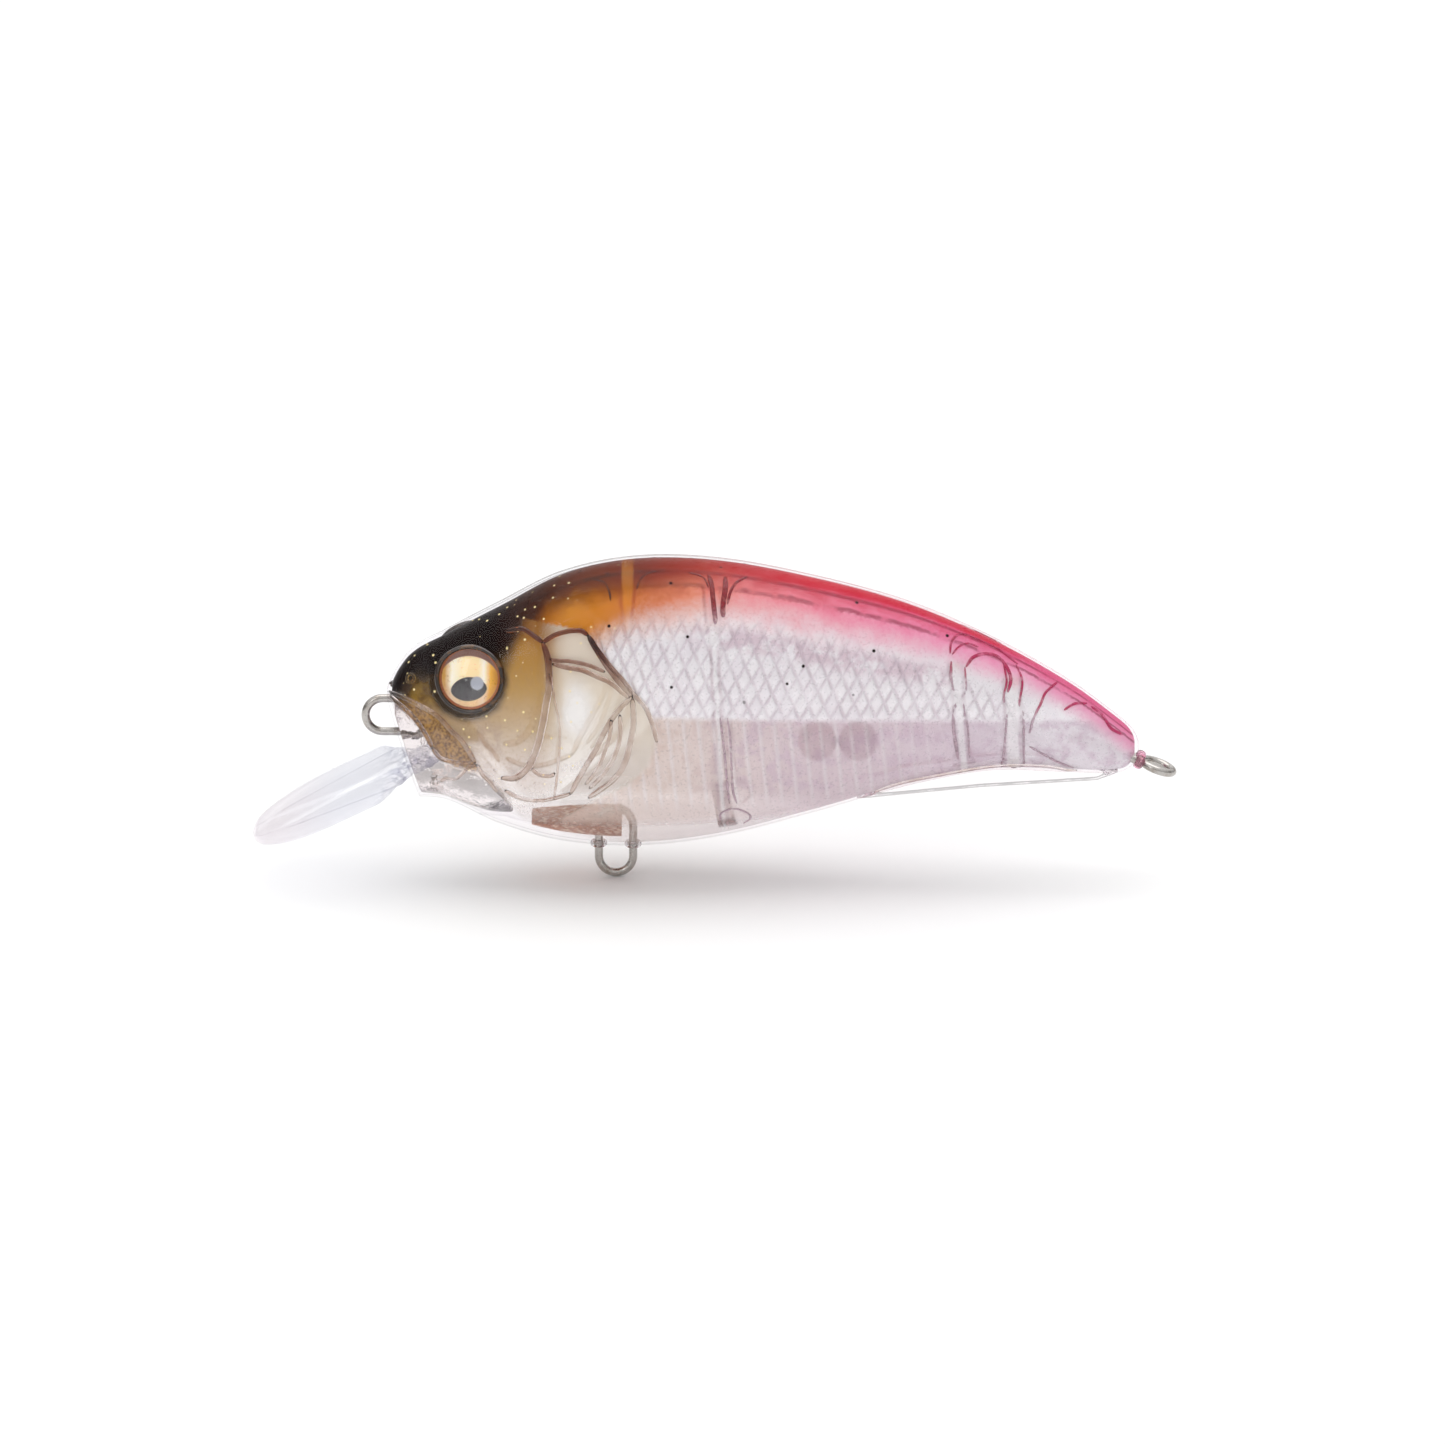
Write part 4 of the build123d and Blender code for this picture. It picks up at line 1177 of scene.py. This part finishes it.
def side_ridge(line, width, height):
    """A ridge laid on the left side along a line of the side view, tapered at its ends."""
    x, z = curve_through(line, 0.22).T
    top, bottom = lines_at(x)[:2]
    z = np.clip(z, bottom + 0.5, top - 0.5)
    y = -half_width_at(x, z) + end_round(x, NOSE, TAIL)
    normal = surface_normal(x, z)
    path = np.stack([x, y, z], -1) + normal * (height * 0.15)
    ends = taper(len(path), 0.12)
    return swept_tube(path, normal, width * ends, 2 * height * ends)


ridges = [side_ridge(line, width * 1.15, height * 1.35) for line, width, height in RIDGES]
add_pair("face_ridges", join_parts(ridges), clear_ridge)

# Eye sockets and nostrils -------------------------------------------------------------------------
round_twenty = np.linspace(0, 2 * np.pi, 20, endpoint=False)
SOCKET_RADIUS = EYE_RADIUS + 0.20
NOSTRIL_X, NOSTRIL_Z = 2.7, 4.4


def ring_profile(radius, height, half_width, half_height, angle):
    """An ellipse of radius and height: radius + half_width cos(a), height + half_height sin(a)."""
    return np.stack([radius + half_width * np.cos(angle), height + half_height * np.sin(angle)], -1)


socket_profile = ring_profile(SOCKET_RADIUS, POCKET_FLOOR + 0.40, 0.25, 0.38, round_twenty)
socket_points, socket_faces = revolved(socket_profile, EYE_CENTRE, EYE_OUT, 96)
# its upper edge is drawn in a little
above = np.clip((socket_points - EYE_CENTRE) @ EYE_UP / EYE_RADIUS, 0, 1)[:, None] ** 2
socket_points = socket_points - (0.22 * above) * EYE_UP - (0.06 * above) * EYE_OUT
add_pair("eye_socket", (socket_points, socket_faces), rim_dark)
nostril = revolved(
    ring_profile(0.42, -0.04, 0.15, 0.15, round_twenty),
    (NOSTRIL_X, -float(half_width_at(NOSTRIL_X, NOSTRIL_Z)), NOSTRIL_Z),
    surface_normal(np.array([NOSTRIL_X]), np.array([NOSTRIL_Z]))[0],
)
add_pair("nostril", nostril, clear_plastic("amber_nostril", (0.75, 0.50, 0.16, 1.0)))

# Moulded walls inside the body ----------------------------------------------------------------------
inner_parts = {
    "middle_bulkhead": cross_wall(
        [
            (31.8, 14.0), (31.8, 12.5), (31.9, 6.0), (31.9, 0.0), (31.9, -5.0), (32.5, -8.0),
            (33.0, -10.9),
        ],
        [3.0, 1.7, 1.3, 1.2, 1.2, 1.4, 1.9],
    ),
    "rear_bulkhead": cross_wall(
        [(54.8, 7.5), (54.8, 6.6), (54.9, 3.0), (55.1, -2.0), (55.6, -4.9)],
        [2.2, 1.5, 1.2, 1.4, 1.5, 2.4],
    ),
    "top_post": cross_wall(
        [(23.5, 14.1), (23.5, 12.6), (23.4, 10.4), (23.3, 8.0)],
        [1.7, 1.5, 1.4, 0.9],
        [1.8, 1.8, 1.0],
    ),
    "rear_post": cross_wall(
        [(60.1, 4.6), (60.0, 3.0), (60.0, -2.0), (60.3, -4.6), (60.4, -5.2)],
        [2.4, 1.7, 1.8, 2.0, 2.0, 0.9],
        [1.3, 1.0, 1.0, 1.0, 1.0, 0.5],
        corner=0.9,
    ),
    "roof_arch": cross_wall(
        [(54.9, 5.2), (55.6, 6.1), (57.0, 6.3), (58.4, 5.7), (59.6, 4.4)],
        [0.9, 1.0, 1.1, 1.0, 0.9],
    ),
    "tail_block_face": cross_wall(
        [
            (64.6, 3.2), (63.6, 2.2), (62.3, 0.6), (61.9, -1.0), (62.4, -2.4), (64.0, -3.6),
            (65.4, -4.3),
        ],
        [0.5, 0.45, 0.4, 0.4, 0.45, 0.5, 0.5],
    ),
    "upper_rail": cross_wall([(32.8, -0.6), (43.0, -0.6), (54.2, -0.6)], [0.45, 0.45, 0.45]),
    "ballast_floor": cross_wall(
        [(9.2, -9.6), (14.0, -9.75), (22.0, -9.75), (31.2, -9.75)], [0.45, 0.45, 0.45]
    ),
}
for name, part in inner_parts.items():
    finish = clear_wall if name in ("upper_rail", "ballast_floor") else clear_inner
    add_mesh(name, *part, finish)


def wall_edge(line, width):
    """A flat tube on the left of the coat's outside along a line of the side view."""
    x, z = curve_through(line, 0.2).T
    top, bottom = lines_at(x)[:2]
    inset = BACK_COAT_DEPTH - 0.06
    z = np.clip(z, bottom + inset + 0.25, top - inset - 0.25)
    path = np.stack([x, -half_width_at(x, z, inset), z], -1)
    ends = taper(len(path), 0.15)
    return swept_tube(path, surface_normal(x, z), width * ends, 0.10 * ends, 8)


def small_ball(centre, radius):
    """A sphere as rings: centre + radius (sin a cos b, sin a sin b, cos a)."""
    a = np.linspace(0, np.pi, 9)[1:-1, None]
    b = np.linspace(0, 2 * np.pi, 12, endpoint=False)[None]
    rings = np.stack([np.sin(a) * np.cos(b), np.sin(a) * np.sin(b), np.cos(a) + 0 * b], -1)
    pole = np.array([0, 0, radius])
    return tube_grid(centre + radius * rings, centre + pole, centre - pole)


left_edges = join_parts([wall_edge(line, width) for line, width in WALL_EDGES])
edge_x, _, edge_z = left_edges[0].T
edge_depth = {"below_back": lines_at(edge_x)[0] - edge_z}
add_pair("wall_edges", left_edges, wall_edge_finish(), edge_depth)
bubble_balls = [
    small_ball(np.array([x, radius - float(half_width_at(x, z, WALL)), z]), radius)
    for x, z, radius in BUBBLES
]
add_pair("bubbles", join_parts(bubble_balls), clear_inner)

# Keel under the tail, and collars where the wires leave the body --------------------------------------
KEEL_X = [45.2, 46.35, 57.1, 68.25, 70.5]
KEEL_Z = [-8.10, -8.13, -7.10, -6.40, -5.46]
KEEL_ENDS = 45.3, 70.2
KEEL_HALF = 0.8
KEEL_CORNER = 0.35
HANGER_X, HANGER_BEND = 22.24, 1.64
TAIL_WIRE_Z, TAIL_TILT = -4.45, radians(20)


def keel_plate():
    """The straight-edged plate under the tail: round-cornered rectangles along x, from just
    inside the belly down to the keel's lower edge."""
    x = np.linspace(*KEEL_ENDS, 96)
    low, high = np.interp(x, KEEL_X, KEEL_Z), lines_at(x)[1] + 0.35
    corner = np.full(len(x), KEEL_CORNER)
    loop = rounded_rectangle((high - low) / 2, np.full(len(x), KEEL_HALF), corner)
    z = ((low + high) / 2)[:, None] + loop[..., 0]
    return closed_rings(np.stack([x[:, None] + 0 * z, loop[..., 1], z], -1))


add_mesh("keel_plate", *keel_plate(), clear_inner)
round_sixteen = np.linspace(0, 2 * np.pi, 16, endpoint=False)
collar_profile = ring_profile(0.60, 0, 0.21, 0.30, round_sixteen)
collars = [
    revolved(collar_profile, (x, 0, float(lines_at(x)[1]) - 0.12), (0, 0, 1))
    for x in (HANGER_X - HANGER_BEND, HANGER_X + HANGER_BEND)
]
add_mesh("hanger_collars", *join_parts(collars), clear_inner)
boss_profile = ring_profile(0.66, 0, 0.24, 0.42, round_sixteen)
boss_axis = cos(TAIL_TILT), 0, -sin(TAIL_TILT)
boss_points, boss_faces = revolved(boss_profile, (TAIL + 0.1, 0, TAIL_WIRE_Z), boss_axis)
boss_finish = clear_plastic("rosy_tail_boss", srgb(236, 170, 196))
add_mesh("tail_boss", boss_points * [1, 1.45, 1], boss_faces, boss_finish)

# Clear jaw --------------------------------------------------------------------------------------------
JAW_ENDS = 1.2, 12.4
JAW_DOME_START, JAW_DOME_LENGTH = 6.4, 6.05
JAW_INSET = 0.3


def jaw_block():
    """Solid clear jaw: the body's section inset a little, cut off above the painted face's edge,
    as rings of the left side, the right side and the flat between them; its rear is a dome."""
    x = np.linspace(*JAW_ENDS, 70)[:, None]
    low, high = lines_at(x)[1] + JAW_INSET + 0.02, np.interp(x, FACE_LINE_X, FACE_LINE_Z) - 0.5
    z = low + (high - low) * np.sin(np.linspace(0, 1, 26)[None] * np.pi / 2)
    y = -half_width_at(x, z, JAW_INSET)
    y[:, 0] = 0
    chin = NOSE + 0.35 + np.maximum(CHIN_RAKE_TOP - z, 0) * tan(CHIN_RAKE)
    shrink = np.sqrt(1 - (np.clip(x - JAW_DOME_START, 0, None) / JAW_DOME_LENGTH) ** 2)
    centre = (low + high) / 2
    left = np.stack([np.maximum(x, chin), y * shrink, centre + (z - centre) * shrink], -1)
    return np.concatenate([left, left[:, :0:-1] * [1, -1, 1]], 1)


add_mesh("jaw_block", *closed_rings(jaw_block()), clear_jaw)

# Lip ----------------------------------------------------------------------------------------------
LIP_SLOPE = radians(25.8)
LIP_ROOT = np.array([NOSE + (CHIN_RAKE_TOP + 4.6) * tan(CHIN_RAKE), 0, -4.6])
LIP_ALONG = np.array([-cos(LIP_SLOPE), 0, -sin(LIP_SLOPE)])
LIP_UP = np.array([-sin(LIP_SLOPE), 0, cos(LIP_SLOPE)])
LIP_LENGTH, LIP_WIDTH, LIP_THICKNESS, LIP_TIP = 16.6, 19.0, 1.2, 8.4
LIP_TONGUE, LIP_TONGUE_HALF, LIP_NECK_HALF = 4.4, 2.6, 3.2
LIP_THIN_FROM, LIP_THIN_OVER = 15.4, 1.25
WEDGE_HALF, WEDGE_LENGTH, WEDGE_HEIGHT, WEDGE_SLOPE = 4.4, 15.6, 0.26, 0.22


def lip_surface():
    """The lip as rings round its edge: half-width b(u) is an ellipse at the tip, straight along
    the sides and an S to the narrow root; the thickness falls off as (1 - (y/b)^6)^(1/2) at the
    edge, and a raised wedge on each face narrows from root to tip."""
    straight = LIP_LENGTH - LIP_TIP
    blade = np.linspace(-LIP_TONGUE, straight, 90, endpoint=False)
    tip = straight + LIP_TIP * np.sin(np.linspace(0, np.pi / 2, 90))
    u = np.concatenate([blade, tip])[:, None]
    half = LIP_NECK_HALF + (LIP_WIDTH / 2 - LIP_NECK_HALF) * smooth(u, -0.4, 3.4)
    half = np.where(u > 0, half, LIP_TONGUE_HALF)
    half = half * np.sqrt(np.clip(1 - (np.maximum(u - straight, 0) / LIP_TIP) ** 2, 0, 1))
    half = np.maximum(half, 0.03)
    # columns bunch at the edges and follow both sides of the wedge
    wedge_half = np.clip(WEDGE_HALF * (1 - u / WEDGE_LENGTH), 0.05, None)
    outside, inside = wedge_half + WEDGE_SLOPE, wedge_half - WEDGE_SLOPE
    inner = [np.clip(stop, -0.9 * half, 0.9 * half) for stop in (-outside, -inside, inside, outside)]
    stops = np.concatenate([-half, *inner, half], -1)
    share = (1 - np.cos(np.linspace(0, np.pi, 72))) / 2
    y = np.stack([np.interp(share, [0, 0.24, 0.30, 0.70, 0.76, 1], row) for row in stops])
    edge = np.sqrt(np.clip(1 - (y / half) ** 6, 0, 1))
    past = np.maximum(u - LIP_THIN_FROM, 0) / LIP_THIN_OVER
    thin = LIP_THICKNESS / 2 * np.sqrt(np.clip(1 - past**2, 0.02, 1))
    wedge = WEDGE_HEIGHT * (1 - smooth(np.abs(y), inside, outside))
    rise = (thin + wedge * smooth(u, -4.4, -1.0) * (1 - smooth(u, 12.0, 15.5))) * edge
    place = LIP_ROOT + u[..., None] * LIP_ALONG + y[..., None] * np.array([0, 1.0, 0])
    upper = place + rise[..., None] * LIP_UP
    lower = place - rise[..., None] * LIP_UP
    return np.concatenate([upper, lower[:, -2:0:-1]], 1)


lip = add_mesh("lip_blade", *closed_rings(lip_surface()), clear_lip, slot="clear_lip")
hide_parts("diving_lip")

# Floor, camera, light ---------------------------------------------------------------------------------
FLOOR_LEFT, FLOOR_RIGHT, FLOOR_FRONT, FLOOR_REAR = -4000, 4000, -3000, 6000
box_low, box_high = (np.array(corner) for corner in cad_box)
f = Finish("pale_floor")
floor_grain = f.noise(f.place()[0], 0.02, 2.0)
pale_floor = f.opaque(Base_Color=(0.93, 0.93, 0.93, 1.0), Roughness=floor_grain * 0.1 + 0.7)
floor_z = float(box_low[2]) / MM - 0.02
floor_corners = [
    (FLOOR_LEFT, FLOOR_FRONT, floor_z), (FLOOR_RIGHT, FLOOR_FRONT, floor_z),
    (FLOOR_RIGHT, FLOOR_REAR, floor_z), (FLOOR_LEFT, FLOOR_REAR, floor_z),
]
floor = add_mesh("floor", floor_corners, [np.array([[0, 1, 2, 3]])], pale_floor, slot=None)
floor.parent = None
del floor["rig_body"]

VIEW_WIDTH = 0.138
VIEW_CENTRE = (0.03244, -0.00075)   # x, and height on the picture plane, of the frame's middle
ELEVATION = radians(16)
DISTANCE = 1.3
camera_data = bpy.data.cameras.new("camera")
camera = bpy.data.objects.new("camera", camera_data)
bpy.context.scene.collection.objects.link(camera)
up = np.array([0, sin(ELEVATION), cos(ELEVATION)])
back_off = np.array([0, -cos(ELEVATION), sin(ELEVATION)])
camera.location = np.array([VIEW_CENTRE[0], 0, 0]) + up * VIEW_CENTRE[1] + back_off * DISTANCE
camera.rotation_euler = (radians(90) - ELEVATION, 0, 0)
camera_data.sensor_width = 36
camera_data.lens = 36 * DISTANCE / VIEW_WIDTH
camera_data.clip_start, camera_data.clip_end = 0.01, 20
bpy.context.scene.camera = camera


def softbox(name, place, aim, size, power):
    """A rectangular lamp that faces a point."""
    data = bpy.data.lights.new(name, "AREA")
    data.shape, data.size, data.size_y = "RECTANGLE", *size
    data.energy = power
    lamp = bpy.data.objects.new(name, data)
    bpy.context.scene.collection.objects.link(lamp)
    away = np.array(place) - np.array(aim)
    lamp.location = place
    tilt = float(np.arctan2(np.hypot(away[0], away[1]), away[2]))
    lamp.rotation_euler = tilt, 0, float(np.arctan2(away[1], away[0])) + radians(90)


lure_centre = ((box_low + box_high) / 2).tolist()
softbox("softbox_above", (0.05, 0.10, 0.60), lure_centre, (0.7, 0.5), 1.6)
softbox("softbox_left", (-0.30, -0.45, 0.30), lure_centre, (0.10, 0.30), 0.25)
softbox("softbox_back", (0.15, 0.55, 0.30), lure_centre, (0.6, 0.2), 0.15)

world = bpy.data.worlds.new("studio")
bpy.context.scene.world = world
studio = Finish("studio", world)
towards = studio.node("TexCoord").outputs["Generated"]
side_x, _, side_z = (
    Value(studio, part) for part in studio.node("SeparateXYZ", s0=towards).outputs
)
overhead = studio.step(side_z, -0.1, 0.9)
# dark flags left and right of the object, near the horizon, draw the edges of clear plastic
flags = studio.step(abs(side_x), 0.80, 0.93)
flags = flags * (1.0 - studio.step(abs(side_z), 0.25, 0.50))
brightness = (overhead * 0.42 + 0.52) * (1.0 - flags * 0.65)
sky = studio.node("Background", Color=(1.0, 1.0, 1.0, 1.0), Strength=brightness)
studio.node("OutputWorld", Surface=sky.outputs[0])

scene = bpy.context.scene
scene.view_settings.view_transform = "Standard"
scene.cycles.max_bounces = 24
scene.cycles.transmission_bounces = 20
scene.cycles.transparent_max_bounces = 32
scene.cycles.glossy_bounces = 8
scene.cycles.diffuse_bounces = 6
scene.cycles.use_denoising = True
